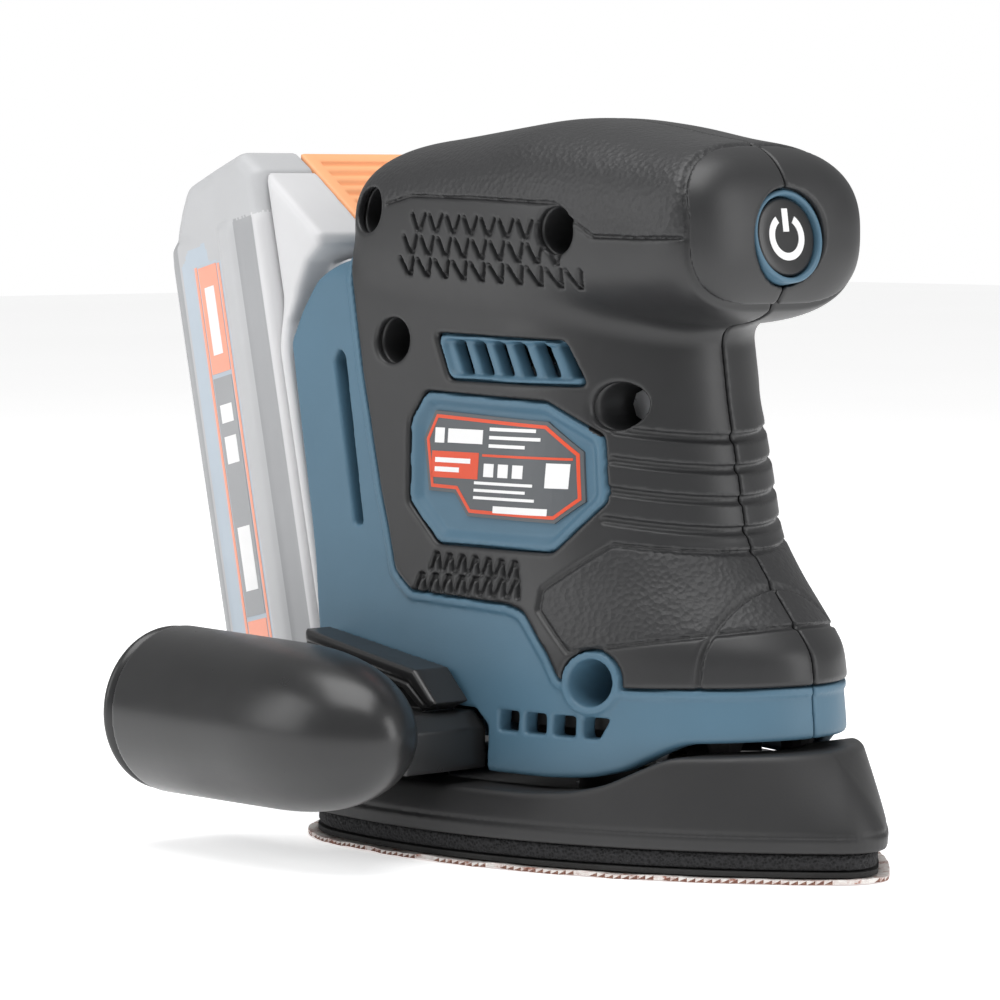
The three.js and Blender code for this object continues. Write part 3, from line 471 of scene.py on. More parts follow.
def chevrons(block, rows):
    """Distance in X and Z to rows of small V marks: (first x, last x, open z, point z, count)."""
    best = np.full((block.x.size, 1, block.z.size), 1e9, np.float32)
    for x0, x1, open_z, point_z, slope, count in rows:
        pitch = (x1 - x0) / count
        for i in range(count):
            left = x0 + i * pitch
            drop = slope * i / (count - 1)
            middle = (left + pitch * 0.36, point_z + drop)
            best = np.minimum(best, segment(block.x, block.z, (left, open_z + drop), (middle[0] - 0.35, middle[1])))
            best = np.minimum(best, segment(block.x, block.z, (left + pitch * 0.72, open_z + drop), (middle[0] + 0.45, middle[1])))
    return best


GRIP_MARKS = [
    (-31.2, 9.6, 130.2, 127.1, -1.6, 8), (-33.8, 12.0, 125.7, 122.4, -1.8, 9), (-35.4, 16.2, 121.2, 118.0, -2.2, 10),
    (-24.0, 1.2, 57.6, 60.6, -0.7, 7), (-27.6, 2.4, 53.0, 56.2, 0.2, 8),
]


def slots():
    shapes = [WING_SLOT]
    for i in range(6):
        x = -23 + i * 5.4
        shapes.append([(x + 3.2, 97.4), (x + 6.4, 97.4), (x + 3, 104.4), (x - 0.2, 104.4)])
    for i in range(4):
        x = -1 + i * 6.8
        right = [(x + 3.6, 26.4), (x + 5.8, 30.6)] if i == 3 else [(x + 5.2, 26.4), (x + 5.2, 30.6)]
        shapes.append([(x, 26.4), *right, (x, 30.6)])
    return shapes


def shell_windows(block):
    """Where the blue shell shows: each window's own field, and the nearest of them all."""
    band = side_outline(block, BAND, 0.9)
    vent = side_outline(block, VENT_WINDOW, 0.8)
    panel = side_outline(block, LABEL_WINDOW, 0.8)
    ring = np.hypot(block.x - BAND_WELL[0], block.z - BAND_WELL[1]) - 6.4
    return band, vent, panel, ring, np.minimum(np.minimum(band, vent), np.minimum(panel, ring))


def shell_inset(block):
    """How far the blue shell lies under the outer surface."""
    band, vent, panel, ring, nearest = shell_windows(block)
    inset = 0.4 + 0.5 * ramp(-band, 1.5, 2.0)
    inset = np.where(vent < 0.3, 0.4 + 0.9 * ramp(-vent, 0.8, 1.3), inset)
    inset = np.where(panel < 0.3, 0.4 + 1.35 * ramp(-panel, 1.0, 3.2), inset)
    inset = inset + (0.1 - inset) * ramp(-ring, -0.1, 0.3)
    return SKIN + 0.25 + (inset - SKIN - 0.25) * ramp(-nearest, -0.05, 0.25)


def cut_wells(block, field, rim):
    for x, z in WELLS:
        away = np.hypot(block.x - x, block.z - z)
        field = cut(field, np.maximum(away - WELL_RADIUS, block.y - WELL_FLOOR), rim)
        field = cut(field, away - SCREW_HOLE, 0.2)
    return field


def grip_skin(block, outer):
    nearest = shell_windows(block)[4]
    skin = smooth_max(outer, -(outer + SKIN), 0.4)
    skin = smooth_max(skin, SEAM - nearest, 1.0)
    skin = cut_wells(block, skin, 0.9)
    along, away = button_fields(block)
    skin = cut(skin, np.maximum(away - 9.6, -14 - along), 0.7)
    local_x, local_z = pack_axes(block)
    channel = np.maximum(np.maximum(-block.y - 29.5, local_x - 16.5), 0 - local_z)
    skin = np.maximum(skin, -channel)
    for groove, radius, depth in skin_grooves(block):
        skin = cut(skin, np.sqrt(groove ** 2 + (outer * depth) ** 2) - radius, 0.3)
    return smooth_max(skin, block.y + SEAM, 0.5)


def skin_grooves(block):
    """Distances in X and Z to the lines moulded into the skin, with each groove's radius and how shallow it is."""
    lines = [(path(block.x, block.z, points), 0.42, 0.5) for points in HEAD_LINE]
    bend = np.clip((block.z - 128) / 14.5, 0, None) ** 1.5
    cap = (block.x - 41 + 4.9 * bend) / np.sqrt(1 + (0.5 * np.sqrt(np.clip(bend, 0, 1))) ** 2)
    lines.append((np.abs(cap), 0.6, 0.7))
    for z in NECK_RIDGES:
        lines.append((path(block.x, block.z, [(17, z), (60, z - 0.145 * 43)]), 0.9, 1.0))
    lines.append((path(block.x, block.z, GRIP_PANEL), 0.5, 0.7))
    lines.append((chevrons(block, GRIP_MARKS), 0.5, 0.38))
    return lines


def housing_shell(block, outer):
    inset = shell_inset(block)
    local_x, local_z = pack_axes(block)
    channel = np.maximum(np.maximum(np.abs(block.y) - 27, local_x - 14), 2 - local_z)
    hollow = smooth_max(outer + WALL_DEPTH, 2.5 - channel, 1.0)
    shell = smooth_max(outer + inset, -hollow, 0.5)
    for x, z in WELLS:
        tube = np.hypot(block.x - x, block.z - z) - WELL_RADIUS - 1.6
        shell = smooth_min(shell, smooth_max(tube, outer + inset, 0.4), 0.8)
    shell = np.maximum(shell, -channel)
    shell = cut_wells(block, shell, 0.7)
    belly = np.interp(block.x.ravel(), [p[0] for p in BELLY], [p[1] for p in BELLY])
    belly = blur(belly, 1.5, block.step, 0)[:, None, None]
    shell = smooth_max(shell, belly - block.z, 1.2)
    for shape in slots():
        shell = cut(shell, side_outline(block, shape, 0.35), 0.6)
    along, away = button_fields(block)
    shell = cut(shell, np.maximum(away - 9.6, -14 - along), 0.4)
    return smooth_max(shell, block.y + SEAM, 0.4)


def near_dark_well(centres):
    """Marks faces inside the screw wells, all but the one in the blue band, which take the black skin's colour."""
    dark = np.zeros(len(centres), bool)
    for x, z in WELLS:
        if (x, z) != BAND_WELL:
            dark |= np.hypot(centres[:, 0] - x, centres[:, 2] - z) < WELL_RADIUS + 1.8
    return dark


def grained(centres):
    """Marks faces of the skin that carry the leather-like grain: the head's top and the lower panel."""
    x, z = centres[:, 0], centres[:, 2]
    line_x = [-60, -39.3, -32.7, -13.2, 8.8, 18.9, 29.5, 60]
    line_z = [131.5, 132.4, 133.9, 133.5, 132.5, 126.0, 125.7, 125.8]
    cap_x = 41 - 4.9 * np.clip((z - 128) / 14.5, 0, None) ** 1.5
    top = (z > np.interp(x, line_x, line_z)) & (x < cap_x)
    return top | (outline(x, z, GRIP_PANEL) < 0)


def add_housing(paint):
    block = Block((-73, -46, 14), (58, 1, 154), STEP)
    outer = outer_surface(block)
    shell = housing_shell(block, outer)
    notch = side_outline(block, DUCT_NOTCH, 0.4)
    shell_paint = [paint["blue"], paint["skin"]]
    skin_paint = [paint["skin"], paint["grain"]]
    right = surface_of(block, cut(shell, notch, 0.6))
    piece = mesh_object("blue_shell_right", *right, shell_paint, near_dark_well)
    finished(piece, "housing", "blue_plastic", "right_housing")
    left = mirrored(*surface_of(block, shell))
    piece = mesh_object("blue_shell_left", *left, shell_paint, near_dark_well)
    finished(piece, "housing", "blue_plastic", "left_housing")
    del shell
    skin = surface_of(block, grip_skin(block, outer))
    piece = mesh_object("grip_skin_right", *skin, skin_paint, grained)
    finished(piece, "housing", "grip_skin", "right_grip_skin")
    piece = mesh_object("grip_skin_left", *mirrored(*skin), skin_paint, grained)
    finished(piece, "housing", "grip_skin", "left_grip_skin")
    return side_heights(block, outer)


# ---------------------------------------------------------------- labels

def side_heights(block, outer):
    """For a depth under the right side's surface, a function from x and z to y."""
    def at_depth(depth):
        below = outer + depth
        first = (below < 0).argmax(axis=1)
        first = np.maximum(first, 1)
        a = np.take_along_axis(below, (first - 1)[:, None, :], 1)[:, 0, :]
        b = np.take_along_axis(below, first[:, None, :], 1)[:, 0, :]
        y = block.low[1] + (first - 1 + a / np.maximum(a - b, 1e-6)) * block.step

        def lookup(x, z):
            i = np.clip((x - block.low[0]) / block.step, 0, y.shape[0] - 2)
            k = np.clip((z - block.low[2]) / block.step, 0, y.shape[1] - 2)
            i0, k0 = i.astype(int), k.astype(int)
            s, t = i - i0, k - k0
            low = y[i0, k0] * (1 - s) + y[i0 + 1, k0] * s
            return low * (1 - t) + (y[i0, k0 + 1] * (1 - s) + y[i0 + 1, k0 + 1] * s) * t
        return lookup
    return at_depth


def dense(points, spacing):
    """A closed outline with extra points along its straight pieces."""
    out = []
    for a, b in zip(points, points[1:] + points[:1]):
        steps = max(1, int(math.hypot(b[0] - a[0], b[1] - a[1]) / spacing))
        out += [(a[0] + (b[0] - a[0]) * i / steps, a[1] + (b[1] - a[1]) * i / steps) for i in range(steps)]
    return out


def area(points):
    return sum(a[0] * b[1] - b[0] * a[1] for a, b in zip(points, points[1:] + points[:1])) / 2


def triangles_in(rims, spacing):
    """Triangulates the region inside the first outline and outside the others."""
    rims = [dense(rim if (area(rim) > 0) == (i == 0) else rim[::-1], spacing) for i, rim in enumerate(rims)]
    flat = [p for rim in rims for p in rim]
    edges, start = [], 0
    for rim in rims:
        edges += [(start + i, start + (i + 1) % len(rim)) for i in range(len(rim))]
        start += len(rim)
    xs, zs = [p[0] for p in rims[0]], [p[1] for p in rims[0]]
    u, v = np.meshgrid(np.arange(min(xs), max(xs), spacing), np.arange(min(zs), max(zs), spacing))
    u, v = u.ravel(), v.ravel()
    inside = outline(u, v, rims[0]) < -0.3 * spacing
    for rim in rims[1:]:
        inside &= outline(u, v, rim) > 0.3 * spacing
    flat += list(zip(u[inside], v[inside]))
    vertices = [Vector(p) for p in flat]
    points, _, faces, *_ = geometry.delaunay_2d_cdt(vertices, edges, [], 0, 1e-6)
    points = np.array([tuple(p) for p in points])
    faces = np.array([f for f in faces if len(f) == 3])
    middle = points[faces].mean(axis=1)
    keep = outline(middle[:, 0], middle[:, 1], rims[0]) < 0
    for rim in rims[1:]:
        keep &= outline(middle[:, 0], middle[:, 1], rim) > 0
    return points, faces[keep]


def boundary(faces):
    """The directed edges that belong to one triangle only."""
    edges = np.concatenate([faces[:, [0, 1]], faces[:, [1, 2]], faces[:, [2, 0]]])
    seen = {tuple(e) for e in edges.tolist()}
    return np.array([e for e in edges.tolist() if (e[1], e[0]) not in seen])


def slab(rims, spacing, top, bottom):
    """A closed thin solid over a flat region: top and bottom place its points in space."""
    points, faces = triangles_in(rims, spacing)
    count = len(points)
    rim = boundary(faces)
    walls = np.concatenate([
        np.stack([rim[:, 1], rim[:, 0], rim[:, 0] + count], 1),
        np.stack([rim[:, 1], rim[:, 0] + count, rim[:, 1] + count], 1),
    ])
    upper, lower = top(points[:, 0], points[:, 1]), bottom(points[:, 0], points[:, 1])
    joined = np.concatenate([faces, faces[:, ::-1] + count, walls])
    return np.concatenate([upper, lower]), joined


def joined_mesh(parts):
    points, faces, start = [], [], 0
    for p, f in parts:
        points.append(p)
        faces.append(f + start)
        start += len(p)
    return np.concatenate(points), np.concatenate(faces)


def rectangle(x0, z0, x1, z1):
    return [(x0, z0), (x1, z0), (x1, z1), (x0, z1)]


def inset_outline(points, distance):
    """A closed outline moved inwards, its corners kept."""
    turn = 1 if area(points) > 0 else -1
    out = []
    for before, here, after in zip(points[-1:] + points[:-1], points, points[1:] + points[:1]):
        a = Vector((here[0] - before[0], here[1] - before[1])).normalized()
        b = Vector((after[0] - here[0], after[1] - here[1])).normalized()
        normal = Vector((-a.y - b.y, a.x + b.x)).normalized() * turn
        reach = distance / max(0.5, normal.dot(Vector((-a.y, a.x)) * turn))
        out.append((here[0] + normal.x * reach, here[1] + normal.y * reach))
    return out


def label_prints():
    """Flat shapes printed on the label: plain bars, blocks and lines that spell nothing."""
    orange = [
        [inset_outline(RATING_LABEL, 0.75), inset_outline(RATING_LABEL, 1.45)],
        [rectangle(-27.2, 76.2, -14.2, 81.6)],
    ]
    orange.append([rectangle(-13.2, 80.9, 9.0, 81.4)])
    white = [rectangle(-26.6, 83.3, -24.0, 86.4), rectangle(-23.0, 83.4, -13.4, 86.3)]
    white += [rectangle(-11.6, 86.2 - 1.7 * i, -11.6 + length, 86.9 - 1.7 * i) for i, length in enumerate((12.0, 13.2, 9.6))]
    white += [rectangle(-26.2, 79.3, -16.4, 80.3), rectangle(-26.2, 77.4, -19.4, 78.4)]
    white += [rectangle(-12.6 + 3.9 * i, 76.8, -9.9 + 3.9 * i, 79.5) for i in range(3)]
    white += [rectangle(-15.0, 75.2 - 1.5 * i, -15.0 + length, 75.8 - 1.5 * i) for i, length in enumerate((15.5, 13.8, 16.2))]
    white += [rectangle(-9.4, 69.6, 4.4, 71.0), rectangle(3.4, 75.2, 8.6, 80.2)]
    return orange, [[w] for w in white]


def add_labels(heights, paint):
    for side, word in ((1, "right"), (-1, "left")):
        def placed(depth):
            at = heights(depth)
            return lambda x, z: np.stack([x, side * at(x, z), z], 1)

        def solids(shapes, upper, lower, spacing):
            made = [slab(rims, spacing, placed(upper), placed(lower)) for rims in shapes]
            points, faces = joined_mesh(made)
            return points, faces if side > 0 else faces[:, ::-1]

        orange, white = label_prints()
        parts = [
            ("label_film_" + word, solids([[RATING_LABEL]], 1.3, 1.72, 2.5), "label", [word + "_label"]),
            ("label_orange_" + word, solids(orange, 1.24, 1.34, 1.5), "orange", []),
            ("label_white_" + word, solids(white, 1.22, 1.34, 1.5), "white", []),
        ]
        for name, mesh, colour, nodes in parts:
            piece = mesh_object(name, *mesh, [paint[colour]], smooth=False)
            finished(piece, "housing", "label_sheet", *nodes)


# ---------------------------------------------------------------- the power button

def lathe(profile, sides):
    """A closed turned solid about Z from a profile of (radius, height) that starts and ends on the axis or closes."""
    turns = np.arange(sides) * 2 * math.pi / sides
    rings = [np.stack([r * np.cos(turns), r * np.sin(turns), np.full(sides, h)], 1) for r, h in profile]
    points = np.concatenate(rings)
    faces = []
    count = len(profile)
    for j in range(count - 1):
        for i in range(sides):
            k = (i + 1) % sides
            faces.append((j * sides + i, j * sides + k, (j + 1) * sides + k, (j + 1) * sides + i))
    return points, np.array(faces)


def on_button(points):
    """From the button's own frame, Z outwards, to the sander's."""
    turn = Matrix.Rotation(math.pi / 2 - BUTTON_TILT, 3, "Y")
    return points @ np.array(turn).T + np.array(BUTTON_AT)


def add_button(paint):
    bezel = [
        (8.2, -9), (9.3, -9), (9.3, -0.1), (9.15, 0.25), (8.85, 0.4), (8.6, 0.38), (8.35, 0.15), (8.2, -0.25), (8.2, -9),
    ]
    points, faces = lathe(bezel, 96)
    piece = mesh_object("button_ring", on_button(points), faces, [paint["blue"]])
    finished(piece, "housing", "blue_plastic", "button_bezel")
    cap = [
        (0.01, -7), (2.4, -7), (2.4, -3), (7.6, -3), (7.8, -2.8), (7.8, -0.9), (7.6, -0.6), (7.2, -0.48), (5.5, -0.42),
        (3, -0.4), (0.01, -0.4),
    ]
    points, faces = lathe(cap, 96)
    piece = mesh_object("button_cap", on_button(points), faces, [paint["satin"]])
    finished(piece, "button", "black_plastic", "power_button")
    finished(power_symbol(paint), "button", "black_plastic")


def power_symbol(paint):
    """A ring open at the top with an upright bar in the opening."""
    outer, inner, opening = 4.75, 3.25, math.radians(33)
    turns = [math.pi / 2 + opening + (2 * math.pi - 2 * opening) * i / 60 for i in range(61)]
    ring = [(outer * math.cos(t), outer * math.sin(t)) for t in turns]
    ring += [(inner * math.cos(t), inner * math.sin(t)) for t in reversed(turns)]
    bar = rectangle(-0.78, 1.0, 0.78, 5.6)

    def level(height):
        # The symbol's own right is the sander's +Y seen from the front, its up is up the button's face.
        return lambda u, v: on_button(np.stack([-v, u, np.full(len(u), height)], 1))

    made = [slab([shape], 1.0, level(-0.26), level(-0.5)) for shape in (ring, bar)]
    points, faces = joined_mesh(made)
    return mesh_object("power_symbol", points, faces, [paint["white"]], smooth=False)


# ---------------------------------------------------------------- the pad

def pad_outline(inset, count=240):
    """The pad's outline of six tangent arcs, as points that go anticlockwise."""
    tip, side, corner, half_length, half_width, bow = 10, 126, 28, 70, 49, 4
    side_y, tip_x = side - half_width, half_length - tip
    widest = tip_x - math.sqrt((side - tip) ** 2 - side_y ** 2)
    corner_x = -half_length + bow + corner
    corner_y = math.sqrt((side - corner) ** 2 - (corner_x - widest) ** 2) - side_y
    inner = half_length + corner_x
    rear = (inner ** 2 + corner_y ** 2 - corner ** 2) / (2 * (inner - corner))
    rear_x = rear - half_length
    tip_turn = math.atan2(side_y, tip_x - widest)
    corner_turn = math.atan2(corner_y + side_y, corner_x - widest)
    rear_turn = math.atan2(corner_y, corner_x - rear_x)
    arcs = [
        (tip_x, 0, tip, -tip_turn, tip_turn), (widest, -side_y, side, tip_turn, corner_turn),
        (corner_x, corner_y, corner, corner_turn, rear_turn), (rear_x, 0, rear, rear_turn, 2 * math.pi - rear_turn),
        (corner_x, -corner_y, corner, -rear_turn, -corner_turn), (widest, side_y, side, -corner_turn, -tip_turn),
    ]
    points = []
    for x, y, radius, start, end in arcs:
        steps = max(3, int(count * abs(end - start) * radius / 400))
        for i in range(steps):
            turn = start + (end - start) * i / steps
            points.append((x + (radius - inset) * math.cos(turn), y + (radius - inset) * math.sin(turn)))
    return points


def add_pad(paint):
    step = 0.45
    block = Block((-72, -51, 4), (72, 51, 28), step)
    pad = outline(block.x, block.y, pad_outline(0))
    level = Block((-72, -51, 27), (72, 51, 27.1), step)
    house = body_field(level)[:, :, :1]
    slopes = np.gradient(house[:, :, 0], step)
    house = (house - 1) / np.maximum(np.hypot(*slopes), 1e-3)[:, :, None]
    rear = BACK_TOP_X + (BACK_TOP_Z - 27) * math.tan(LEAN)
    house = smooth_max(house, rear - block.x, 6)
    rise = 0.86 * np.clip((block.z - 9.2) / 16.8, 0, 1.2) ** 1.25
    cover = (pad + 0.5) * (1 - rise) + (house - 0.9) * rise
    belly = np.interp(block.x.ravel(), [p[0] for p in BELLY], [p[1] for p in BELLY])
    belly = blur(belly, 1.5, step, 0)[:, None, None] - 2.3
    ledge = 10 * ramp(block.z - belly, -3.2, -2.2)
    skirt = smooth_max(cover, -(cover + 2.4 + ledge), 0.3)
    skirt = smooth_max(smooth_max(skirt, block.z - belly, 1.4), 8.0 - block.z, 0.3)
    flange = smooth_max(pad + 0.4, np.abs(block.z - 7.75) - 1.75, 1.0)
    platen = smooth_min(flange, skirt, 0.6)
    crease = np.sqrt((pad + 0.35) ** 2 + (block.z - 9.5) ** 2) - 0.45
    platen = cut(platen, crease, 0.3)
    hub = np.hypot(block.x - PIN_X, block.y)
    ring = np.maximum(np.maximum(hub - 14.5, 11.3 - hub), np.maximum(block.z - 18.3, 8.0 - block.z))
    platen = smooth_min(platen, ring, 1.0)
    for x, y in DUST_HOLES:
        platen = cut(platen, np.hypot(block.x - x, block.y - y) - DUST_HOLE_RADIUS, 0.4)
    for x, y in ((PIN_X + 19, 0), (PIN_X - 19, 0), (PIN_X, 19), (PIN_X, -19)):
        platen = cut(platen, np.hypot(block.x - x, block.y - y) - SCREW_HOLE, 0.2)
    piece = mesh_object("pad_cover", *surface_of(block, platen), [paint["matte"]])
    finished(piece, "pad", "black_plastic", "pad_platen")
    add_pad_layers(paint)


def circle(x, y, radius, sides=24):
    turns = [2 * math.pi * i / sides for i in range(sides)]
    return [(x + radius * math.cos(t), y + radius * math.sin(t)) for t in turns]


def layer(inset, z0, z1, wobble, holes, materials, name, bulge=0.0):
    """A flat layer with a wavy edge and dust holes; wobble is the rim's waviness in millimetres."""
    ripple = lambda x, y: np.sin(x * 0.31 + y * 0.17) + 0.6 * np.sin(x * 0.83 - y * 0.47) + 0.4 * np.sin(x * 1.9 + y * 1.1)
    rims = [pad_outline(inset), *[circle(x, y, DUST_HOLE_RADIUS) for x, y in holes]]

    def at(z, up):
        def place(x, y):
            edge = np.clip(1 + outline(x, y, pad_outline(inset)) / 7, 0, 1)
            lift = wobble * edge ** 2 * (1.0 + 0.5 * ripple(x, y)) * 0.5
            return np.stack([x, y, z + (lift if up else lift * 0.7)], 1)
        return place

    points, faces = slab(rims, 2.6, at(z1, True), at(z0, False))
    # Faces low on the sheet take the second material, the red-brown grit. Along the edge this band is partly painted
    # shade at the bottom.
    return mesh_object(name, points, faces, materials, lambda c: (c[:, 2] < z0 + 0.02 + wobble).astype(int) if len(materials) > 1 else np.zeros(len(c)), smooth=False)


def add_pad_layers(paint):
    step = 0.45
    block = Block((-72, -51, 0.6), (72, 51, 7.4), step)
    pad = outline(block.x, block.y, pad_outline(0))
    pores = np.sin(block.x * 2.1 + 1.3 * np.sin(block.y * 1.7)) * np.sin(block.y * 2.3 + block.z * 2.9)
    holes = np.full(pad.shape, -1e9, np.float32)
    for x, y in DUST_HOLES:
        holes = np.maximum(holes, DUST_HOLE_RADIUS - np.hypot(block.x - x, block.y - y))
    foam = smooth_max(pad + 2.4 + 0.12 * pores, np.abs(block.z - 4.1) - 1.65, 1.1)
    piece = mesh_object("foam_layer", *surface_of(block, smooth_max(foam, holes, 0.5)), [paint["foam"]])
    finished(piece, "pad", "foam", "foam_pad")
    piece = layer(2.2, 1.25, 2.25, 0.0, DUST_HOLES, [paint["hook"]], "hook_fabric")
    finished(piece, "pad", "hook", "hook_layer")
    piece = layer(0.05, 0.0, 0.75, 0.55, DUST_HOLES, [paint["sheet"], paint["grit_and_edge_shade"]], "sanding_paper")
    finished(piece, "pad", "abrasive", "sanding_sheet")


# ---------------------------------------------------------------- the dust box

def canister_radius(x, inset):
    """The bullet's radius along X, its long nose rounded off."""
    nose, shoulder = CANISTER_NOSE_X - inset, -27.0
    straight = CANISTER_RADIUS - inset - (np.clip(x, CANISTER_REAR_X, None) - CANISTER_REAR_X) * 0.012
    into = np.clip((x - shoulder) / (nose - shoulder), 0, 1)
    return straight * np.sqrt(1 - into ** 2.5)


def bullet(block, inset):
    away = np.hypot(block.y - CANISTER_Y, block.z - CANISTER_Z)
    nose, shoulder = CANISTER_NOSE_X - inset, -27.0
    straight = CANISTER_RADIUS - inset - (np.clip(block.x, CANISTER_REAR_X, None) - CANISTER_REAR_X) * 0.012
    into = np.clip((block.x - shoulder) / (nose - shoulder), 0, None)
    return as_distance(np.sqrt((away / straight) ** 2 + into ** 2.5), block.step)


def add_dust_box(paint):
    block = Block((-78, -89, 9), (13.5, -51, 47), 0.45)
    shell = smooth_max(bullet(block, 0), -bullet(block, CANISTER_WALL), 0.4)
    port = side_outline(block, DUCT, 0.0) - 0.3
    shell = np.maximum(shell, -np.maximum(port, CANISTER_Y - block.y))
    barrel = smooth_max(shell, CANISTER_REAR_X + 0.1 - block.x, 0.4)
    piece = mesh_object("dust_barrel", *surface_of(block, barrel), [paint["satin"]])
    finished(piece, "dust_box", "black_plastic", "dust_canister")
    away = np.hypot(block.y - CANISTER_Y, block.z - CANISTER_Z)
    disc = smooth_max(away - CANISTER_RADIUS, np.abs(block.x - CANISTER_REAR_X + 2.65) - 2.35, 4.0)
    dish = np.maximum(away - 12.5, block.x - CANISTER_REAR_X + 4.4)
    plug = smooth_max(away - CANISTER_RADIUS + CANISTER_WALL + 0.3, np.abs(block.x - CANISTER_REAR_X - 1.5) - 3.5, 0.6)
    cap = smooth_min(cut(disc, dish, 0.8), plug, 0.2)
    piece = mesh_object("dust_box_cap", *surface_of(block, cap), [paint["satin"]])
    finished(piece, "dust_lid", "black_plastic", "dust_cap")
    add_duct(paint)


def add_duct(paint):
    block = Block((-53, -58, 16.5), (-3, -33, 46), 0.36)
    clear = as_distance(body_field(block), block.step)
    tube = smooth_max(side_outline(block, DUCT), np.abs(block.y + 45.6) - 10.9, 0.9)
    hood = smooth_max(side_outline(block, HOOD), np.abs(block.y + 40.5) - 6.5, 1.1)
    plate = smooth_max(side_outline(block, HOOD_PLATE), np.abs(block.y + 38.75) - 4.75, 0.8)
    cover = np.maximum(smooth_min(hood, plate, 0.4), 0.3 - clear)
    duct = smooth_min(tube, cover, 0.5)
    strip = path(block.x, block.z, [(-50.5, 41.3), (-16.5, 35.6), (-10.5, 31.2)])
    duct = cut(duct, np.sqrt(strip ** 2 + (block.y + 47) ** 2) - 0.45, 0.3)
    duct = cut(duct, np.maximum(side_outline(block, DUCT_BORE), -1e3), 0.4)
    piece = mesh_object("dust_duct_body", *surface_of(block, duct), [paint["satin"]])
    finished(piece, "dust_box", "black_plastic", "dust_duct")


# ---------------------------------------------------------------- the battery

PACK_SIDE = [
    (-35, 0), (-3.3, 0), (-3.3, 107), (-8.5, 112.2), (-23, 110.4), (-29.5, 109.6), (-33.8, 105.4), (-38.8, 98.8),
    (-41, 93), (-39.6, 4),
]
PACK_LID = [(-3, 0), (-0.3, 0), (-0.3, 73), (3, 79.5), (7, 84.5), (12, 87), (12.4, 89.5), (-3, 106.9)]
LATCH_POCKET = [(-6, 87), (40, 87), (40, 140), (-12, 140), (-12, 104), (-6, 99)]
LATCH = [(-0.5, 88.5), (9.7, 88.5), (9.7, 92.4), (-8.3, 112.3), (-8.6, 110), (-3, 103), (-2.8, 98)]
# Half widths of the battery's shell from its rear face to the tool, over its columns and above them.
PACK_WIDTHS = [
    (-41.2, 31.2), (-38, 34.2), (-34.5, 35.5), (-33.3, 34.9), (-19.6, 34.9), (-18.0, 36.3), (-14.4, 36.3), (-12, 35.0),
    (-7.2, 35.0), (-5.1, 36.2), (-3, 36.4), (13, 36.4),
]
PACK_WIDTHS_TOP = [(-41.2, 30.5), (-36, 33.6), (-30, 34.6), (-18, 35.4), (-3, 35.6), (13, 35.6)]
COLUMN_TOP = 97.0
BLUE_PANEL = [(-33.7, 6), (-19.7, 6), (-19.7, 90.6), (-24, 91.6), (-24.8, 95.6), (-31, 95.2), (-33.7, 92)]


def in_pack_frame(points):
    """From the battery's leaning frame to the sander's."""
    turn = Matrix.Rotation(-LEAN, 3, "Y")
    return points @ np.array(turn).T + np.array(PACK_AT)


def pack_width(block):
    columns, plain = (
        blur(np.interp(block.x.ravel(), *zip(*table)), 0.45, block.step, 0)[:, None, None] for table in (PACK_WIDTHS, PACK_WIDTHS_TOP)
    )
    return columns + (plain - columns) * ramp(block.z, COLUMN_TOP - 1, COLUMN_TOP + 2)


def pack_colour(centres):
    """Columns of colour down the battery's sides, by their place towards the tool. The dark grey in the recess between
    the two side ridges is painted shade.
    """
    x, y, z = local_of(centres)
    side = (np.abs(y) > 30.8) & (z < COLUMN_TOP + 1)
    index = np.zeros(len(x), int)
    index[side & (outline(x, z, BLUE_PANEL) < 0)] = 1
    # Painted shade: the recessed channel between the raised ridges gets the dark grey.
    index[side & (x > -13) & (x < -6)] = 2
    index[side & (x > -6)] = 3
    index[(x < -34.2) & (z < COLUMN_TOP + 1)] = 2
    return index


def local_of(centres):
    cos, sin = math.cos(LEAN), math.sin(LEAN)
    x, z = centres[:, 0] - PACK_AT[0], centres[:, 2] - PACK_AT[2]
    return x * cos + z * sin, centres[:, 1], z * cos - x * sin


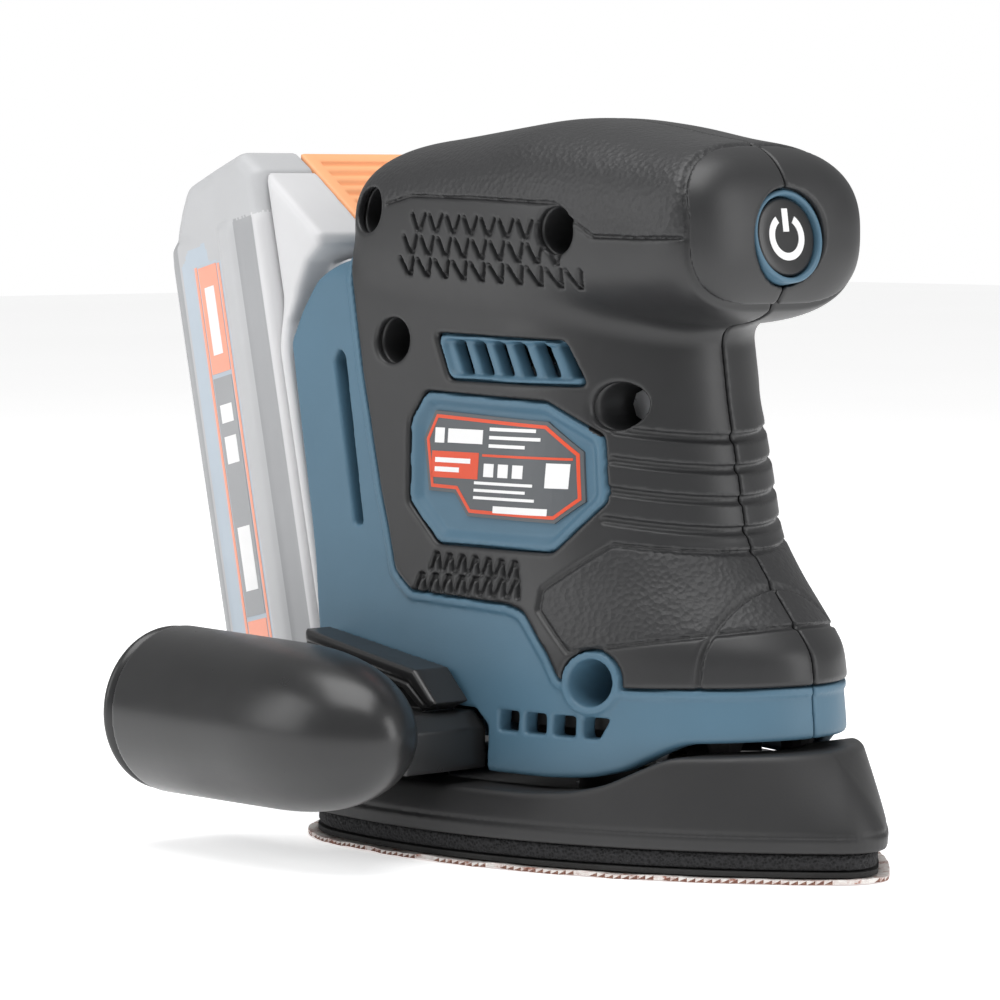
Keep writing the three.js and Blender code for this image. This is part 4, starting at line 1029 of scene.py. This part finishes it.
def add_battery(paint):
    block = Block((-43, -38.5, -1.5), (14.5, 38.5, 114), 0.5)
    width = pack_width(block)
    outer = smooth_max(side_outline(block, PACK_SIDE, 0.6), np.abs(block.y) - width, 4.0)
    pocket = np.maximum(side_outline(block, LATCH_POCKET), np.abs(block.y) - 19)
    hollow = np.maximum(outer + 2.4, -np.maximum(-8.4 - block.x, 84 - block.z))
    rear = cut(smooth_max(outer, -hollow, 0.3), pocket, 0.6)
    piece = mesh_object("pack_shell", *pack_surface(block, rear), [paint[c] for c in ("grey", "pale_blue", "dark_grey_and_shade", "grey_light")], pack_colour)
    finished(piece, "battery", "pale_grey_plastic", "pack_rear_case")
    shoulder = 36.2 - 3.0 * ramp(block.z, 66, 80)
    lid = smooth_max(side_outline(block, PACK_LID, 0.4), np.abs(block.y) - shoulder, 2.2)
    neck = smooth_max(np.maximum(-1 - block.x, block.x - 13), np.abs(block.y) - 26, 0.8)
    neck = smooth_max(neck, np.maximum(12 - block.z, block.z - 84), 0.8)
    core = np.maximum(np.maximum(-9 - block.x, block.x - 10.6), np.maximum(np.abs(block.y) - 23.6, np.abs(block.z - 52) - 26))
    front = np.maximum(smooth_min(lid, neck, 0.6), -core)
    rail = np.maximum(np.maximum(3.5 - block.x, block.x - 7.5), np.maximum(22.5 - np.abs(block.y), np.abs(block.z - 44) - 34))
    slot = np.maximum(np.maximum(4 - block.x, np.abs(np.abs(block.y) - 12) - 1.2), block.z - 25)
    front = cut(cut(cut(front, rail, 0.3), slot, 0.3), pocket, 0.5)
    piece = mesh_object("pack_rail_case", *pack_surface(block, front), [paint["grey_light"]])
    finished(piece, "battery", "pale_grey_plastic", "pack_front_case")
    latch = smooth_max(side_outline(block, LATCH, 0.3), np.abs(block.y) - 18.5, 1.2)
    (foot_x, foot_z), (top_x, top_z) = LATCH[2], LATCH[3]
    slope = Vector((top_x - foot_x, top_z - foot_z)).normalized()
    along = (block.x - foot_x) * slope.x + (block.z - foot_z) * slope.y
    across = (block.x - foot_x) * slope.y - (block.z - foot_z) * slope.x
    for i in range(1, 7):
        rib = np.sqrt((along - i * 3.7) ** 2 + across ** 2) - 0.9
        latch = cut(latch, np.maximum(rib, np.abs(block.y) - 14.5), 0.5)
    piece = mesh_object("release_latch", *pack_surface(block, latch), [paint["pale_orange"]])
    finished(piece, "latch", "pale_orange_plastic", "pack_latch")
    add_stripes(block, paint)


def pack_surface(block, field):
    points, quads = surface_of(block, field)
    return in_pack_frame(points), quads


def add_stripes(block, paint):
    """The strip down each side of the battery: two orange lines, a block at the top and plain marks."""
    def flank(side, height):
        def place(x, z):
            y = np.interp(x, [p[0] for p in PACK_WIDTHS], [p[1] for p in PACK_WIDTHS])
            return in_pack_frame(np.stack([x, side * (y + height), z], 1))
        return place

    lines = [[rectangle(-29.5, 8, -28.7, 91)], [rectangle(-21.3, 8, -20.5, 90.4)], [rectangle(-28.3, 67, -21.7, 90.6)]]
    lines += [[rectangle(-28.3, 8, -21.7, 12.5)]]
    base = [[rectangle(-28.3, 13.5, -21.7, 66)]]
    marks = [[rectangle(-26.8, 71, -23.4, 86)], [rectangle(-27.2, 47, -23.0, 53)], [rectangle(-27.2, 56, -23.0, 60)]]
    marks += [[rectangle(-27.2, 19, -22.8, 33)]]
    for side, word in ((-1, "right"), (1, "left")):
        for name, shapes, colour, lift, nodes in (
            ("stripe_lines_", lines, "salmon", 0.1, ["pack_stripe_" + word]),
            ("stripe_base_", base, "dark_grey_and_shade", 0.1, []),
            ("stripe_marks_", marks, "white", 0.16, []),
        ):
            made = [slab(rims, 3.0, flank(side, lift), flank(side, -0.3)) for rims in shapes]
            points, faces = joined_mesh(made)
            faces = faces if side < 0 else faces[:, ::-1]
            piece = mesh_object(name + word, points, faces, [paint[colour]], smooth=False)
            finished(piece, "battery", "pale_orange_plastic", *nodes)


# ---------------------------------------------------------------- CAD nodes that stay in view

CAD_PAINT = {
    "black": ("matte", ["motor_end_cap", "cooling_fan", "bearing_plate", "leg_frame", "tact_switch", "terminal_block"]),
    "rubber": ("rubber", ["rubber_leg_1", "rubber_leg_2", "rubber_leg_3", "rubber_leg_4", "motor_lead"]),
    "steel": ("steel", [
        "button_spring", "motor_shaft", "shaft_bearing", "pad_bearing", "housing_screw_1", "housing_screw_2",
        "housing_screw_3", "housing_screw_4", "housing_screw_5", "pad_screw_1", "pad_screw_2", "pad_screw_3", "pad_screw_4",
    ]),
    "can": ("can", ["motor_can"]),
    "brass": ("brass", ["counterweight", "terminal_blade_right", "terminal_blade_left"]),
    "board": ("board", ["switch_board", "pack_board"]),
    "cells": ("wrap", ["cell_1", "cell_2", "cell_3", "cell_4", "cell_5"]),
    "filter": ("filter", ["dust_filter"]),
    "wire": ("wire", ["battery_lead"]),
}


def paint_cad(paint):
    for key, nodes in CAD_PAINT.values():
        for node in nodes:
            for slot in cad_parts[node].material_slots:
                slot.material = paint[key]


# ---------------------------------------------------------------- stage, light and camera

def add_floor():
    mesh = bpy.data.meshes.new("floor")
    mesh.from_pydata([(-4, -4, 0), (4, -4, 0), (4, 4, 0), (-4, 4, 0)], [], [(0, 1, 2, 3)])
    n = Nodes("paper_floor")
    n.link(n.colours(n.noise(3, 2), [(0.3, (0.9, 0.9, 0.9)), (0.7, (0.93, 0.93, 0.93))]), n.shader.inputs["Base Color"])
    n.link(n.range(n.noise(30), 0.75, 0.9), n.shader.inputs["Roughness"])
    n.shader.inputs["Emission Color"].default_value = (1, 1, 1, 1)
    n.shader.inputs["Emission Strength"].default_value = 0.55
    mesh.materials.append(n.made)
    floor = bpy.data.objects.new("floor", mesh)
    bpy.context.scene.collection.objects.link(floor)


def add_light(name, place, size, power, aim=(-0.02, -0.02, 0.07)):
    data = bpy.data.lights.new(name, "AREA")
    data.shape, data.size, data.size_y, data.energy = "RECTANGLE", size[0], size[1], power
    lamp = bpy.data.objects.new(name, data)
    bpy.context.scene.collection.objects.link(lamp)
    lamp.location = place
    lamp.rotation_euler = (Vector(aim) - Vector(place)).to_track_quat("-Z", "Y").to_euler()


def add_lights():
    world = bpy.data.worlds.new("studio")
    world.use_nodes = True
    tree = world.node_tree
    seen, unseen = tree.nodes["Background"], tree.nodes.new("ShaderNodeBackground")
    seen.inputs["Color"].default_value = (1, 1, 1, 1)
    unseen.inputs["Color"].default_value = (1, 1, 1, 1)
    unseen.inputs["Strength"].default_value = 0.4
    mix, rays = tree.nodes.new("ShaderNodeMixShader"), tree.nodes.new("ShaderNodeLightPath")
    tree.links.new(rays.outputs["Is Camera Ray"], mix.inputs["Fac"])
    tree.links.new(unseen.outputs[0], mix.inputs[1])
    tree.links.new(seen.outputs[0], mix.inputs[2])
    tree.links.new(mix.outputs[0], tree.nodes["World Output"].inputs["Surface"])
    bpy.context.scene.world = world
    add_light("top", (0.1, -0.15, 1.1), (0.9, 0.9), 10)
    add_light("left", (-0.45, -0.95, 0.5), (0.5, 0.8), 3.5)
    add_light("right", (0.95, 0.45, 0.4), (0.35, 0.8), 3.5)


def add_camera():
    azimuth, elevation, distance = math.radians(49.5), math.radians(4.1), 0.892
    toward = Vector((math.sin(azimuth) * math.cos(elevation), -math.cos(azimuth) * math.cos(elevation), math.sin(elevation)))
    aim = Vector((-0.0218, -0.0177, 0.0710))
    data = bpy.data.cameras.new("camera")
    data.lens, data.sensor_width = 154.8, 36
    camera = bpy.data.objects.new("camera", data)
    bpy.context.scene.collection.objects.link(camera)
    camera.location = aim + toward * distance
    camera.rotation_euler = (-toward).to_track_quat("-Z", "Y").to_euler()
    bpy.context.scene.camera = camera


def main():
    bpy.context.scene.view_settings.view_transform = "Standard"
    paint = make_materials()
    heights = add_housing(paint)
    add_labels(heights, paint)
    add_button(paint)
    add_pad(paint)
    add_dust_box(paint)
    add_battery(paint)
    paint_cad(paint)
    add_floor()
    add_lights()
    add_camera()


main()
